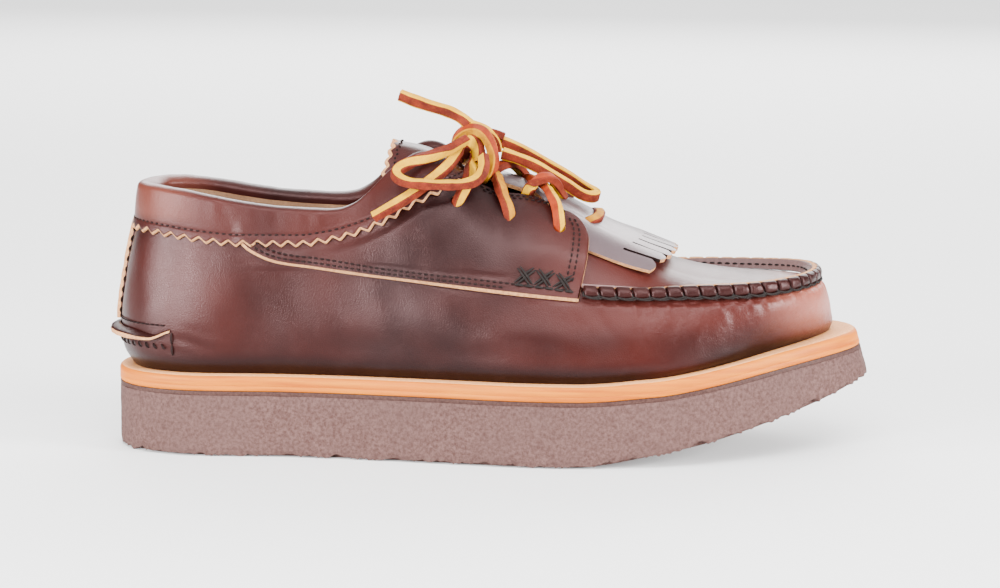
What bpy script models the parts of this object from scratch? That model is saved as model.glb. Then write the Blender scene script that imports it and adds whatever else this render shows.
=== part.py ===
"""Derby shoe for the right foot: hand-sewn moccasin upper on a thick wedge sole.

Metres, +Z up. +X points to the toe and +Y to the inner (medial) side of the foot.
The origin is on the floor, under the middle of the sole's length.
"""
import math
from collections import namedtuple

import bmesh
import bpy
import numpy as np
from mathutils import Matrix

MM = 0.001

# ---------------------------------------------------------------- driving sizes (mm)
SOLE_LENGTH = 305.0        # tread, heel to toe
BALL_WIDTH = 106.0         # tread, across the ball
INSTEP_HEIGHT = 124.5      # floor to the top of the throat
DRAWN = (305.0, 106.0, 124.5)   # the sizes that the tables below are drawn at

OUTSOLE_HEIGHT = 25.0      # wedge under heel and waist
SLIP_THICKNESS = 1.8       # thin rubber layer on the wedge
MIDSOLE_THICKNESS = 6.4    # leather midsole
INSOLE_THICKNESS = 3.0
WALL = 2.0                 # leather of the vamp and counter
OVERLAY = 1.8              # leather of the quarters and the tongue
KILTIE_THICKNESS = 1.6
GAP = 0.3                  # between pieces that touch
EYELET_DIAMETER = 5.0

# ---------------------------------------------------------------- tables (mm)
# A row is one section of the shoe, from the heel to the toe. "lat" and "med" are y on the
# outer and inner side. All rings share the row numbers.
SoleRow = namedtuple("SoleRow", "name x lat med ledge flare")
SOLE_ROWS = [
    SoleRow("heel back",      -152.5,   0.0,  0.0,  5.2, 128),
    SoleRow("heel corner",    -144.5, -21.3, 20.8,  5.2, 128),
    SoleRow("heel side",      -122.0, -33.0, 32.5,  5.5, 126),
    SoleRow("heel breast",     -92.0, -34.2, 34.3,  5.5, 124),
    SoleRow("waist",           -62.0, -36.8, 32.4,  5.5, 124),
    SoleRow("waist front",     -38.0, -40.8, 31.6,  5.8, 124),
    SoleRow("instep back",     -12.0, -46.0, 33.0,  6.0, 124),
    SoleRow("instep",           14.0, -50.8, 37.0,  6.0, 124),
    SoleRow("throat",           40.0, -52.0, 43.5,  6.0, 124),
    SoleRow("ball",             65.0, -50.6, 50.5,  6.2, 124),
    SoleRow("vamp",             90.0, -44.8, 54.0,  6.6, 122),
    SoleRow("fore part",       113.0, -34.5, 52.6,  7.2, 118),
    SoleRow("toe shoulder",    134.0, -20.0, 44.0,  8.0, 112),
    SoleRow("toe corner",      147.5,  -4.5, 29.0,  8.8, 106),
    SoleRow("toe tip",         152.5,  11.0, 11.0,  9.0, 104),
]
# The seam ring: the base of the apron seam in front, the lower edge of the quarters behind.
# "below" and "above" are the wall's slopes under and over it, in degrees.
SeamRow = namedtuple("SeamRow", "name x lat med z below above")
SEAM_ROWS = [
    SeamRow("heel back",      -148.9,   0.0,  0.0, 75.0, 80, 80),
    SeamRow("heel corner",    -142.2, -18.6, 18.2, 75.0, 80, 80),
    SeamRow("heel side",      -121.0, -30.0, 29.5, 75.5, 82, 82),
    SeamRow("heel breast",     -93.0, -32.6, 32.0, 76.5, 84, 84),
    SeamRow("waist",           -66.0, -34.4, 31.2, 76.5, 84, 84),
    SeamRow("waist front",     -43.0, -37.2, 31.2, 74.0, 80, 80),
    SeamRow("instep back",     -19.0, -40.2, 32.5, 71.5, 76, 76),
    SeamRow("instep",            6.0, -42.2, 35.2, 68.6, 74, 74),
    SeamRow("throat",           31.0, -41.8, 38.5, 66.6, 70, 70),
    SeamRow("ball",             55.0, -39.6, 40.4, 65.2, 62, 62),
    SeamRow("vamp",             79.0, -38.2, 41.2, 65.0, 58, 42),
    SeamRow("fore part",       102.0, -34.6, 39.4, 65.6, 58, 26),
    SeamRow("toe shoulder",    120.5, -24.0, 32.6, 66.8, 60, 16),
    SeamRow("toe corner",      131.0,  -8.5, 21.6, 67.6, 62, 12),
    SeamRow("toe tip",         134.0,   8.0,  8.0, 67.6, 62, 10),
]
# The top ring: the collar's edge behind, the throat's edges at the instep, and the
# shoulders of the apron in front. "rise" is the slope there, and the crown is the point
# where the section passes over the middle of the foot.
TopRow = namedtuple("TopRow", "name x lat med z rise crown_x crown_z")
TOP_ROWS = [
    TopRow("heel back",      -141.5,   0.0,  0.0, 106.0, 78, -141.5, 106.0),
    TopRow("heel corner",    -136.8, -14.6, 14.2, 105.9, 78, -136.0, 112.0),
    TopRow("heel side",      -120.0, -24.2, 23.8, 104.2, 80, -118.0, 124.0),
    TopRow("heel breast",     -95.0, -27.6, 27.0, 100.0, 82,  -90.0, 130.0),
    TopRow("waist",           -69.0, -28.6, 27.4,  98.0, 80,  -60.0, 133.0),
    TopRow("waist front",     -50.0, -27.8, 26.6, 103.0, 62,  -40.0, 127.2),
    TopRow("instep back",     -28.0, -20.5, 20.5, 120.5, 34,  -26.0, 123.5),
    TopRow("instep",            -6.0, -16.5, 17.5, 109.6, 36,   -5.0, 113.8),
    TopRow("throat",            20.0, -16.0, 18.0, 101.2, 30,   21.0, 104.4),
    TopRow("ball",              45.0, -16.5, 19.5,  90.0, 22,   46.0,  91.2),
    TopRow("vamp",              70.0, -17.0, 21.5,  76.6, 14,   71.0,  78.2),
    TopRow("fore part",         92.0, -15.5, 21.0,  71.4,  8,   93.0,  72.8),
    TopRow("toe shoulder",     106.0,  -9.0, 19.0,  70.2,  5,  107.0,  70.9),
    TopRow("toe corner",       113.5,  -1.0, 14.0,  69.9,  3,  114.0,  70.2),
    TopRow("toe tip",          116.0,   7.0,  7.0,  69.8,  3,  116.0,  69.8),
]
# The sole from the side: height of the tread over the floor, thickness of the wedge, and
# how far its edge leans back for each unit of height.
ProfileRow = namedtuple("ProfileRow", "x tread thickness lean")
PROFILE_ROWS = [
    ProfileRow(-160.0,  0.0, OUTSOLE_HEIGHT, 0.00),
    ProfileRow(  20.0,  0.0, OUTSOLE_HEIGHT, 0.00),
    ProfileRow(  36.0,  0.0, OUTSOLE_HEIGHT, 0.00),
    ProfileRow(  48.0,  1.3,           24.2, 0.02),
    ProfileRow(  60.0,  3.6,           22.9, 0.05),
    ProfileRow(  73.0,  6.0,           21.5, 0.08),
    ProfileRow(  86.0,  8.7,           20.6, 0.12),
    ProfileRow( 104.0, 13.4,           19.0, 0.17),
    ProfileRow( 120.0, 18.2,           17.2, 0.21),
    ProfileRow( 140.0, 24.4,           14.0, 0.26),
    ProfileRow( 153.0, 28.8,           11.0, 0.28),
]
# The collar's lower edge, the quarter's lower and front edges and the throat's edge, from
# the side: x and z.
SidePoint = namedtuple("SidePoint", "x z")
COLLAR_EDGE = [SidePoint(*row) for row in (
    (-160.0, 88.2), (-143.0, 88.6), (-131.5, 87.8), (-115.5, 86.0), (-99.4, 84.8),
    (-75.3, 84.9), (-63.3, 86.6), (-51.2, 89.9), (-39.2, 95.2), (-31.2, 100.3),
    (-23.2, 104.3), (-16.0, 107.6), (-8.0, 110.4), (0.0, 114.0))]
QUARTER_LOWER_EDGE = [SidePoint(*row) for row in (
    (-97.0, 84.2), (-94.0, 82.4), (-88.2, 79.9), (-74.3, 77.6), (-56.4, 75.4),
    (-34.5, 73.1), (-14.6, 70.9), (13.0, 67.9), (36.0, 65.6))]
QUARTER_FRONT_EDGE = [SidePoint(*row) for row in (
    (36.8, 69.6), (38.4, 77.0), (39.5, 84.0), (39.9, 88.9), (38.3, 92.6))]
QUARTER_CORNER = [SidePoint(*row) for row in (
    (35.0, 96.6), (31.0, 100.0), (22.0, 110.0), (-4.0, 118.0), (-7.7, 113.8),
    (-12.6, 107.7))]
EYELETS = [SidePoint(*row) for row in ((27.5, 91.2), (7.5, 96.6), (-13.4, 103.2))]

LAST_ROW = len(SOLE_ROWS) - 1
TURN = 2 * LAST_ROW               # the ring's parameter after one whole turn
# stations in each interval between two rows: more where the plan is round
STEPS = [3, 3, 2, 2, 3, 3, 3, 2, 2, 2, 2, 3, 3, 3]
WALL_ROWS = 5                     # faces from the feather line up to the seam ring
TOP_WALL_ROWS = 5                 # faces from the seam ring up to the top ring
CROWN_COLUMNS = 6                 # faces across the crown


# ---------------------------------------------------------------- splines
def closed_spline(values):
    """Smooth closed curve through values at 0, 1, 2, ... as a function of the parameter."""
    points = np.asarray(values, float)
    count = len(points)
    system = 4 * np.eye(count) + np.roll(np.eye(count), 1, 0) + np.roll(np.eye(count), -1, 0)
    bend = np.linalg.solve(system, 6 * (np.roll(points, 1, 0) - 2 * points + np.roll(points, -1, 0)))

    def at(u):
        first = math.floor(u)
        t = u - first
        a, b = first % count, (first + 1) % count
        s = 1 - t
        return (s * points[a] + t * points[b]
                + (s ** 3 - s) * bend[a] / 6 + (t ** 3 - t) * bend[b] / 6)
    return at


def monotone(rows, x_name, y_name):
    """Curve through table rows that never swings past them, as a function of x."""
    xs = np.array([getattr(row, x_name) for row in rows])
    ys = np.array([getattr(row, y_name) for row in rows])
    secant = np.diff(ys) / np.diff(xs)
    slope = np.zeros(len(xs))
    for i in range(1, len(xs) - 1):
        if secant[i - 1] * secant[i] > 0:
            slope[i] = 2 * secant[i - 1] * secant[i] / (secant[i - 1] + secant[i])
    slope[0], slope[-1] = secant[0], secant[-1]

    def at(x):
        i = int(np.clip(np.searchsorted(xs, x) - 1, 0, len(xs) - 2))
        width = xs[i + 1] - xs[i]
        t = float(np.clip((x - xs[i]) / width, 0, 1))
        return ((1 + 2 * t) * (1 - t) ** 2 * ys[i] + t * (1 - t) ** 2 * width * slope[i]
                + t * t * (3 - 2 * t) * ys[i + 1] + t * t * (t - 1) * width * slope[i + 1])
    return at


def open_spline(points):
    """Smooth curve through points, as a function of the distance along their chords, with
    its whole length."""
    points = np.asarray(points, float)
    reach = np.concatenate([[0.0], np.cumsum(np.linalg.norm(np.diff(points, axis=0), axis=1))])
    count = len(points)
    system, target = np.zeros((count, count)), np.zeros((count, 3))
    system[0, 0] = system[-1, -1] = 1.0
    for i in range(1, count - 1):
        before, after = reach[i] - reach[i - 1], reach[i + 1] - reach[i]
        system[i, i - 1:i + 2] = before, 2 * (before + after), after
        target[i] = 6 * ((points[i + 1] - points[i]) / after - (points[i] - points[i - 1]) / before)
    bend = np.linalg.solve(system, target)

    def at(s):
        i = int(np.clip(np.searchsorted(reach, s) - 1, 0, count - 2))
        width = reach[i + 1] - reach[i]
        b = (s - reach[i]) / width
        a = 1 - b
        return (a * points[i] + b * points[i + 1]
                + ((a ** 3 - a) * bend[i] + (b ** 3 - b) * bend[i + 1]) * width ** 2 / 6)
    return at, reach[-1]


def hermite(start, end, leave, arrive, t):
    """Cubic from start to end with the tangents leave and arrive."""
    return ((1 + 2 * t) * (1 - t) ** 2 * start + t * (1 - t) ** 2 * leave
            + t * t * (3 - 2 * t) * end + t * t * (t - 1) * arrive)


def around(rows, *columns):
    """A table's columns as one closed ring: the outer side first, back by the inner side."""
    def pick(row, side):
        return [getattr(row, side if column == "y" else column) for column in columns]
    outer = [pick(row, "lat") for row in rows]
    inner = [pick(row, "med") for row in rows[-2:0:-1]]
    return closed_spline(outer + inner)


# ---------------------------------------------------------------- the form of the shoe
GRADE = np.array([SOLE_LENGTH / DRAWN[0], BALL_WIDTH / DRAWN[1], INSTEP_HEIGHT / DRAWN[2]])

sole_ring = around(SOLE_ROWS, "x", "y")
sole_values = around(SOLE_ROWS, "ledge", "flare")
seam_ring = around(SEAM_ROWS, "x", "y", "z")
seam_slopes = around(SEAM_ROWS, "below", "above")
top_ring = around(TOP_ROWS, "x", "y", "z")
top_values = around(TOP_ROWS, "rise", "crown_x", "crown_z")
tread_height = monotone(PROFILE_ROWS, "x", "tread")
wedge_thickness = monotone(PROFILE_ROWS, "x", "thickness")
edge_lean = monotone(PROFILE_ROWS, "x", "lean")


def stations(first=0.0, last=float(LAST_ROW)):
    """Ring parameters of the outer side between two rows, both ends included."""
    marks = []
    for row, steps in enumerate(STEPS):
        marks += [row + k / steps for k in range(steps)]
    marks.append(float(LAST_ROW))
    return [u for u in marks if first - 1e-6 <= u <= last + 1e-6]


def whole_ring():
    """Ring parameters once around the shoe, from the heel by the outer side."""
    outer = stations()
    return outer + [TURN - u for u in outer[-2:0:-1]]


def inward(u):
    """Unit vectors in plan along the ring and into the shoe."""
    step = sole_ring(u + 0.02) - sole_ring(u - 0.02)
    along = np.array([step[0], step[1], 0.0])
    along /= np.linalg.norm(along)
    return along, np.array([-along[1], along[0], 0.0])


def layer_point(x, y, height):
    """Point of the sole over plan point x, y, height above the tread."""
    return np.array([x - height * edge_lean(x), y, tread_height(x) + height])


def edge_point(u, inset, layers, lift=0.0):
    """Point of the sole's ring, inset from its edge. layers counts the layers below it."""
    plan = sole_ring(u) + inward(u)[1][:2] * inset
    heights = (0.0, wedge_thickness(plan[0]), SLIP_THICKNESS, MIDSOLE_THICKNESS)
    return layer_point(plan[0], plan[1], sum(heights[:layers + 1]) + lift)


def form(u, w):
    """Outer surface of the upper. w runs 0..1 from the feather line to the seam ring, 1..2
    to the top ring and 2..3 to the crown over the middle of the foot."""
    along, into = inward(u)
    up = np.array([0.0, 0.0, 1.0])
    ledge, flare = sole_values(u)
    below, above = seam_slopes(u)
    rise, crown_x, crown_z = top_values(u)
    seam, top = seam_ring(u), top_ring(u)

    def tangent(degrees, chord):
        angle = math.radians(degrees)
        return (np.linalg.norm(chord) * (math.cos(angle) * into + math.sin(angle) * up)
                + chord.dot(along) * along)
    if w <= 1:
        feather = edge_point(u, ledge, 3, GAP)
        chord = seam - feather
        return hermite(feather, seam, tangent(flare, chord), tangent(below, chord), w)
    if w <= 2:
        chord = top - seam
        return hermite(seam, top, tangent(above, chord), tangent(rise, chord), w - 1)
    other = top_ring(TURN - u)
    crown = np.array([crown_x, 0.0, crown_z])
    middle = (top + other) / 2
    reach = (crown - middle) * 4 / 3
    spread = abs(other[1] - top[1]) * 0.3
    side = math.copysign(1.0, other[1] - top[1])
    near = top + np.array([reach[0], side * spread, reach[2]])
    far = other + np.array([reach[0], -side * spread, reach[2]])
    t = (w - 2) / 2
    s = 1 - t
    return s ** 3 * top + 3 * s * s * t * near + 3 * s * t * t * far + t ** 3 * other


def normal(u, w, side=0):
    """Outward normal of the form. side -1 or +1 takes it just under or over w."""
    step = 0.01
    low = w - (0 if side > 0 or w <= 0 else step)
    high = w + (0 if side < 0 or w >= 3 else step)
    along = form(u + step, w) - form(u - step, w)
    across = form(u, high) - form(u, low)
    direction = np.cross(along, across)
    return direction / np.linalg.norm(direction)


def raised(u, w, offset, side=0):
    """Point of the form moved outward by offset."""
    return form(u, w) + normal(u, w, side) * offset


# ---------------------------------------------------------------- objects and materials
MATERIALS = {
    # name: (colour, roughness)
    "crepe rubber":   ((0.300, 0.235, 0.220), 0.85),
    "dark rubber":    ((0.075, 0.045, 0.040), 0.60),
    "tan leather":    ((0.680, 0.360, 0.160), 0.50),
    "brown leather":  ((0.120, 0.035, 0.025), 0.35),
    "flesh leather":  ((0.450, 0.280, 0.140), 0.80),
    "rawhide":        ((0.420, 0.130, 0.055), 0.60),
}


def clear_scene():
    for item in list(bpy.data.objects):
        bpy.data.objects.remove(item)


def collection(name):
    group = bpy.data.collections.new(name)
    bpy.context.scene.collection.children.link(group)
    return group


def material(name, node):
    colour, roughness = MATERIALS[name]
    made = bpy.data.materials.new(f"{name} {node}")
    made.use_nodes = True
    shader = made.node_tree.nodes["Principled BSDF"]
    shader.inputs["Base Color"].default_value = (*colour, 1.0)
    shader.inputs["Roughness"].default_value = roughness
    shader.inputs["Metallic"].default_value = 0.0
    return made


def split(a, b, c, d):
    """Two triangles for a four-sided face, with the same diagonal on every sheet."""
    return [(a, b, c), (a, c, d)]


def grid_faces(rows, count):
    """Faces of an open grid of points, row after row."""
    faces = []
    for r in range(rows - 1):
        for i in range(count - 1):
            a = r * count + i
            faces += split(a, a + 1, a + count + 1, a + count)
    return faces


def make_object(name, points, faces, group, finish=None):
    """Object from points in mm and faces. A finish makes it a piece of the shoe."""
    mesh = bpy.data.meshes.new(name)
    mesh.from_pydata([tuple(np.asarray(p) * GRADE * MM) for p in points], [], faces)
    mesh.validate()
    item = bpy.data.objects.new(name, mesh)
    group.objects.link(item)
    if finish:
        mesh.materials.append(material(finish, name))
        mesh.shade_smooth()
    return item


def outward_faces(item):
    """Turns the faces of a closed mesh outward."""
    work = bmesh.new()
    work.from_mesh(item.data)
    bmesh.ops.recalc_face_normals(work, faces=work.faces)
    work.to_mesh(item.data)
    work.free()


def solidify(item, thickness, outward=False):
    shell = item.modifiers.new("thickness", "SOLIDIFY")
    shell.thickness = thickness * MM
    shell.offset = 1.0 if outward else -1.0
    shell.use_even_offset = True
    return shell


def cut(item, cutter, operation="DIFFERENCE"):
    step = item.modifiers.new(cutter.name, "BOOLEAN")
    step.operation = operation
    step.solver = "EXACT"
    step.object = cutter
    cutter.display_type = "WIRE"
    cutter.hide_render = True
    return step


# ---------------------------------------------------------------- the sole
def slab(name, low, high, group, finish):
    """Closed slab between two rings of points that run around the shoe together."""
    count = len(low)
    faces = [(i, (i + 1) % count, count + (i + 1) % count, count + i) for i in range(count)]
    half = count // 2
    for i in range(half):
        a, b = i, i + 1
        c, d = (count - b) % count, (count - a) % count
        bottom = [a, b] + ([c] if c != b else []) + ([d] if d != a else [])
        faces.append(tuple(reversed(bottom)))
        faces.append(tuple(count + k for k in bottom))
    item = make_object(name, list(low) + list(high), faces, group, finish)
    outward_faces(item)
    return item


GROOVE_PITCH = 10.0         # shallow grooves across the tread
GROOVE_WIDTH = 2.8
GROOVE_DEPTH = 1.2
GROOVE_FIRST, GROOVE_LAST = -145.0, 145.0


def tread_grooves(group):
    """One cutter of all the grooves: a bar across the tread for each."""
    work = bmesh.new()
    count = round((GROOVE_LAST - GROOVE_FIRST) / GROOVE_PITCH) + 1
    for k in range(count):
        x = GROOVE_FIRST + k * GROOVE_PITCH
        slope = math.atan2(tread_height(x + 1) - tread_height(x - 1), 2.0)
        place = Matrix.Translation((x * MM, 0, tread_height(x) * MM))
        size = (GROOVE_WIDTH * MM, 160 * MM, 2 * GROOVE_DEPTH * MM)
        bmesh.ops.create_cube(work, size=1.0,
                              matrix=place @ Matrix.Rotation(-slope, 4, "Y") @ Matrix.Diagonal((*size, 1)))
    mesh = bpy.data.meshes.new("tread grooves")
    work.to_mesh(mesh)
    work.free()
    cutter = bpy.data.objects.new("tread grooves", mesh)
    cutter.scale = GRADE
    group.objects.link(cutter)
    return cutter


def make_sole(group, cutters):
    ring = whole_ring()
    outsole = slab("outsole", [edge_point(u, 0.0, 0) for u in ring],
                   [edge_point(u, 0.0, 1) for u in ring], group, "crepe rubber")
    cut(outsole, tread_grooves(cutters))
    slab("slip_sole", [edge_point(u, 0.2, 1, GAP) for u in ring],
         [edge_point(u, 0.2, 2) for u in ring], group, "dark rubber")
    slab("midsole", [edge_point(u, 0.0, 2, GAP) for u in ring],
         [edge_point(u, 0.0, 3) for u in ring], group, "tan leather")
    inside = WALL + 1.0
    slab("insole", [edge_point(u, sole_values(u)[0] + inside, 3, GAP) for u in ring],
         [edge_point(u, sole_values(u)[0] + inside, 3, GAP + INSOLE_THICKNESS) for u in ring],
         group, "tan leather")


# ---------------------------------------------------------------- the upper
def wall_marks():
    return ([k / WALL_ROWS for k in range(WALL_ROWS)]
            + [1 + k / TOP_WALL_ROWS for k in range(TOP_WALL_ROWS + 1)])


THROAT_FRONT = 8.5          # row where the apron starts in front of the throat


def make_upper(group):
    """One shell: walls all around, and the apron across the toe. Open below, at the collar
    and at the throat."""
    ring, marks = whole_ring(), wall_marks()
    count = len(ring)
    points = [form(u, w) for w in marks for u in ring]
    faces = []
    for row in range(len(marks) - 1):
        for i in range(count):
            low, high, j = row * count, (row + 1) * count, (i + 1) % count
            faces += split(low + i, low + j, high + j, high + i)
    edge = (len(marks) - 1) * count
    columns = {}
    for i, u in enumerate(ring[:count // 2 + 1]):
        if u < THROAT_FRONT - 1e-6:
            continue
        if i == count // 2:
            columns[i] = [edge + i] * (CROWN_COLUMNS + 1)
            continue
        column = [edge + i]
        for k in range(1, CROWN_COLUMNS):
            column.append(len(points))
            points.append(form(u, 2 + 2 * k / CROWN_COLUMNS))
        columns[i] = column + [edge + count - i]
    for i in sorted(columns)[:-1]:
        for k in range(CROWN_COLUMNS):
            face = [columns[i][k], columns[i + 1][k], columns[i + 1][k + 1], columns[i][k + 1]]
            faces.append(tuple(dict.fromkeys(face)))
    upper = make_object("upper", points, faces, group, "brown leather")
    solidify(upper, WALL)
    return upper


# ---------------------------------------------------------------- pieces over the upper
def smooth_step(low, high, value):
    t = min(max((value - low) / (high - low), 0.0), 1.0)
    return t * t * (3 - 2 * t)


def locate(x, z, inner=False):
    """Ring parameter and w of the form's point at x, z on one side of the shoe."""
    u, w = 7.0, 1.5
    for _ in range(30):
        def flat(a, b):
            point = form(TURN - a if inner else a, b)
            return np.array([point[0], point[2]])
        here = flat(u, w)
        step = 1e-3
        slopes = [(flat(u + step, w) - here) / step, (here - flat(u, w - step)) / step]
        move = np.linalg.solve(np.column_stack(slopes), np.array([x, z]) - here)
        u += float(np.clip(move[0], -1, 1))
        w = float(np.clip(w + np.clip(move[1], -0.3, 0.3), 0.02, 2.9))
    return (TURN - u if inner else u), w


def collar_edge_mark(u):
    """w where the collar's lower edge crosses the section at u."""
    edge = monotone(COLLAR_EDGE, "x", "z")
    low, high = 1.0, 1.93
    for _ in range(30):
        middle = (low + high) / 2
        point = form(u, middle)
        if point[2] < edge(point[0]):
            low = middle
        else:
            high = middle
    return (low + high) / 2


def side_prism(name, outline, inner, group):
    """Cutter with an outline of x, z points, from the middle of the shoe outward."""
    far = 90.0 if inner else -90.0
    count = len(outline)
    points = [np.array([p.x, y, p.z]) for y in (0.0, far) for p in outline]
    faces = [tuple(range(count)), tuple(range(2 * count - 1, count - 1, -1))]
    faces += [(i, count + i, count + (i + 1) % count, (i + 1) % count) for i in range(count)]
    prism = make_object(name, points, faces, group)
    outward_faces(prism)
    return prism


def sheet(name, us, ws, offset, group, finish):
    """Open sheet over the form at parameters us by ws, offset(u, w) above it."""
    points = [raised(u, w, offset(u, w)) for w in ws for u in us]
    return make_object(name, points, grid_faces(len(ws), len(us)), group, finish)


def quarter_offset(u, w):
    """Clearance under the quarters: they lift over the edge of the kiltie in front."""
    x = form(u, w)[0]
    lift = smooth_step(2.0, 15.0, x) * smooth_step(1.1, 1.45, w)
    return GAP + lift * (KILTIE_THICKNESS + GAP)


def make_quarter(name, inner, group, cutters):
    """Half of the eyelet stay: a larger shell over the form, cut to its outline."""
    outer = stations(2.5, 9.5)
    us = [TURN - u for u in reversed(outer)] if inner else outer
    ws = wall_marks()[WALL_ROWS - 1:] + [2.08]
    quarter = sheet(name, us, ws, quarter_offset, group, "brown leather")
    solidify(quarter, OVERLAY, outward=True)
    tail = [SidePoint(p.x, p.z - 2 * GAP) for p in COLLAR_EDGE if -100.0 < p.x < -15.0]
    outline = QUARTER_LOWER_EDGE + QUARTER_FRONT_EDGE + QUARTER_CORNER + tail[::-1]
    cut(quarter, side_prism(f"{name} outline", outline, inner, cutters), "INTERSECT")
    return quarter


def eyelet_cutter(inner, group):
    """Three punches square to the surface."""
    points, faces = [], []
    sides = 12
    for spot in EYELETS:
        u, w = locate(spot.x, spot.z, inner)
        axis = normal(u, w)
        across = np.cross(axis, [0, 0, 1.0])
        across /= np.linalg.norm(across)
        up = np.cross(across, axis)
        base = len(points)
        for depth in (-6.0, 9.0):
            for k in range(sides):
                angle = 2 * math.pi * k / sides
                points.append(form(u, w) + axis * depth + EYELET_DIAMETER / 2
                              * (math.cos(angle) * across + math.sin(angle) * up))
        faces += [tuple(base + k for k in range(sides)),
                  tuple(base + sides + k for k in reversed(range(sides)))]
        for k in range(sides):
            ahead = (k + 1) % sides
            faces.append((base + k, base + sides + k, base + sides + ahead, base + ahead))
    cutter = make_object(f"eyelets {'inner' if inner else 'outer'}", points, faces, group)
    outward_faces(cutter)
    return cutter


def loft(name, sections, group, finish, closed=False):
    """Solid through closed sections of equal counts, with flat ends unless it is a ring."""
    size = len(sections[0])
    points = [p for section in sections for p in section]
    pairs = len(sections) if closed else len(sections) - 1
    faces = []
    for s in range(pairs):
        a, b = s * size, (s + 1) % len(sections) * size
        faces += [(a + k, a + (k + 1) % size, b + (k + 1) % size, b + k) for k in range(size)]
    if not closed:
        faces += [tuple(range(size)), tuple(len(points) - size + k for k in range(size))]
    item = make_object(name, points, faces, group, finish)
    outward_faces(item)
    return item


COLLAR_END = 6.7            # row where the collar runs out at the throat
COLLAR_INNER_DEPTH = 13.0   # how far the lining side comes down


def roll_radius(u):
    """Half the thickness of the padded roll, thinner towards the throat."""
    return 4.4 - 1.7 * smooth_step(4.0, COLLAR_END, min(u, TURN - u))


def collar_section(u):
    radius = roll_radius(u)
    gap = GAP + 0.3 * smooth_step(4.0, 5.0, min(u, TURN - u))
    edge = collar_edge_mark(u)
    length = np.linalg.norm(form(u, 2.0) - form(u, 1.0))
    depth = min(COLLAR_INNER_DEPTH / length, 0.7)
    tip, out = form(u, 2.0), normal(u, 2.0, -1)
    along = inward(u)[0]
    up = np.cross(along, out)
    up *= math.copysign(1.0, up[2])
    outer_marks = [edge + (2 - edge) * k / 4 for k in range(4)]
    section = [raised(u, outer_marks[0], gap + 2.0)]
    section += [raised(u, w, radius - 1) for w in outer_marks[1:]]
    height = 2.7
    for k in range(7):
        angle = math.pi * k / 6
        section.append(tip + out * (radius * math.cos(angle) - 1) + up * height * math.sin(angle))
    section += [raised(u, 2 - depth / 2, -1 - radius), raised(u, 2 - depth, -WALL - gap - 1.2)]
    section += [raised(u, 2 - depth * k / 2, -WALL - gap) for k in (2, 1)]
    section += [tip + out * side + up * (gap + 0.2) for side in (-WALL - gap, gap)]
    section += [raised(u, w, gap) for w in reversed(outer_marks)]
    return section


def make_collar(group):
    outer = [u for u in stations() if u < COLLAR_END - 0.1] + [COLLAR_END]
    us = [-u for u in reversed(outer[1:])] + outer
    return loft("collar", [collar_section(u % TURN) for u in us], group, "brown leather")


def tongue_depth(u, w):
    """How far the tongue lies under the form: inside wall and collar at its sides, close
    under the surface in the middle."""
    row = min(u, TURN - u)
    sides = WALL + 2 * GAP + (roll_radius(u) - 0.3) * (1 - smooth_step(COLLAR_END - 0.3, 7.5, row))
    middle = 1.6 + 0.8 * smooth_step(6.0, 7.5, row)
    return sides + (middle - sides) * smooth_step(2.0, 2.8, w)


def across_marks(first, count):
    """w values from first to the crown."""
    return [first + (3.0 - first) * k / count for k in range(count + 1)]


def crossing_sheet(name, us, ws, offset, group, finish):
    """Open sheet that runs from the outer side over the crown to the inner side."""
    rows = [[raised(u, w, offset(u, w)) for u in us] for w in ws]
    rows += [[raised(TURN - u, w, offset(u, w)) for u in us] for w in reversed(ws[:-1])]
    return make_object(name, [p for row in rows for p in row], grid_faces(len(rows), len(us)),
                       group, finish)


def make_tongue(group):
    us = [5.0, 5.25, 5.5, 5.75] + stations(6.0, 9.0)
    tongue = crossing_sheet("tongue", us, across_marks(1.5, 6),
                            lambda u, w: -tongue_depth(u, w), group, "flesh leather")
    solidify(tongue, OVERLAY)
    return tongue


def prism(name, outline, low, high, group):
    """Upright cutter with an outline of x, y points."""
    count = len(outline)
    points = [np.array([x, y, z]) for z in (low, high) for x, y in outline]
    faces = [tuple(range(count)), tuple(range(2 * count - 1, count - 1, -1))]
    faces += [(i, count + i, count + (i + 1) % count, (i + 1) % count) for i in range(count)]
    cutter = make_object(name, points, faces, group)
    outward_faces(cutter)
    return cutter


KILTIE_STRIPS = 10
KILTIE_HALF_WIDTH = 31.0
KILTIE_NECK = 13.0          # half width between the quarters
KILTIE_MIDDLE = 1.5         # y of its middle line
KILTIE_TIP = 74.0           # x of the middle strips' ends
SLIT_WIDTH = 0.9
SLIT_LENGTH = 14.0


def kiltie_outline():
    """Plan of the kiltie: a neck under the lace, then the strips with their cut corners."""
    outline = [(-4.0, KILTIE_NECK), (-4.0, -KILTIE_NECK), (17.0, -KILTIE_NECK),
               (29.0, -KILTIE_HALF_WIDTH + 1.0)]
    pitch = 2 * KILTIE_HALF_WIDTH / KILTIE_STRIPS
    corner = pitch * 0.3
    for k in range(KILTIE_STRIPS):
        low = -KILTIE_HALF_WIDTH + k * pitch + SLIT_WIDTH / 2
        high = low + pitch - SLIT_WIDTH
        tip = KILTIE_TIP - 10.5 * (((low + high) / 2) / KILTIE_HALF_WIDTH) ** 2
        outline += [(tip - corner, low), (tip, low + corner),
                    (tip, high - corner), (tip - corner, high)]
        if k < KILTIE_STRIPS - 1:
            outline += [(tip - SLIT_LENGTH, high), (tip - SLIT_LENGTH, high + SLIT_WIDTH)]
    outline += [(29.0, KILTIE_HALF_WIDTH - 1.0), (17.0, KILTIE_NECK)]
    return [(x, y + KILTIE_MIDDLE) for x, y in outline]


def kiltie_offset(u, w):
    """The kiltie lies on the apron and lifts off towards its tips."""
    return GAP + 1.8 * smooth_step(46.0, 70.0, form(u, w)[0])


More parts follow.
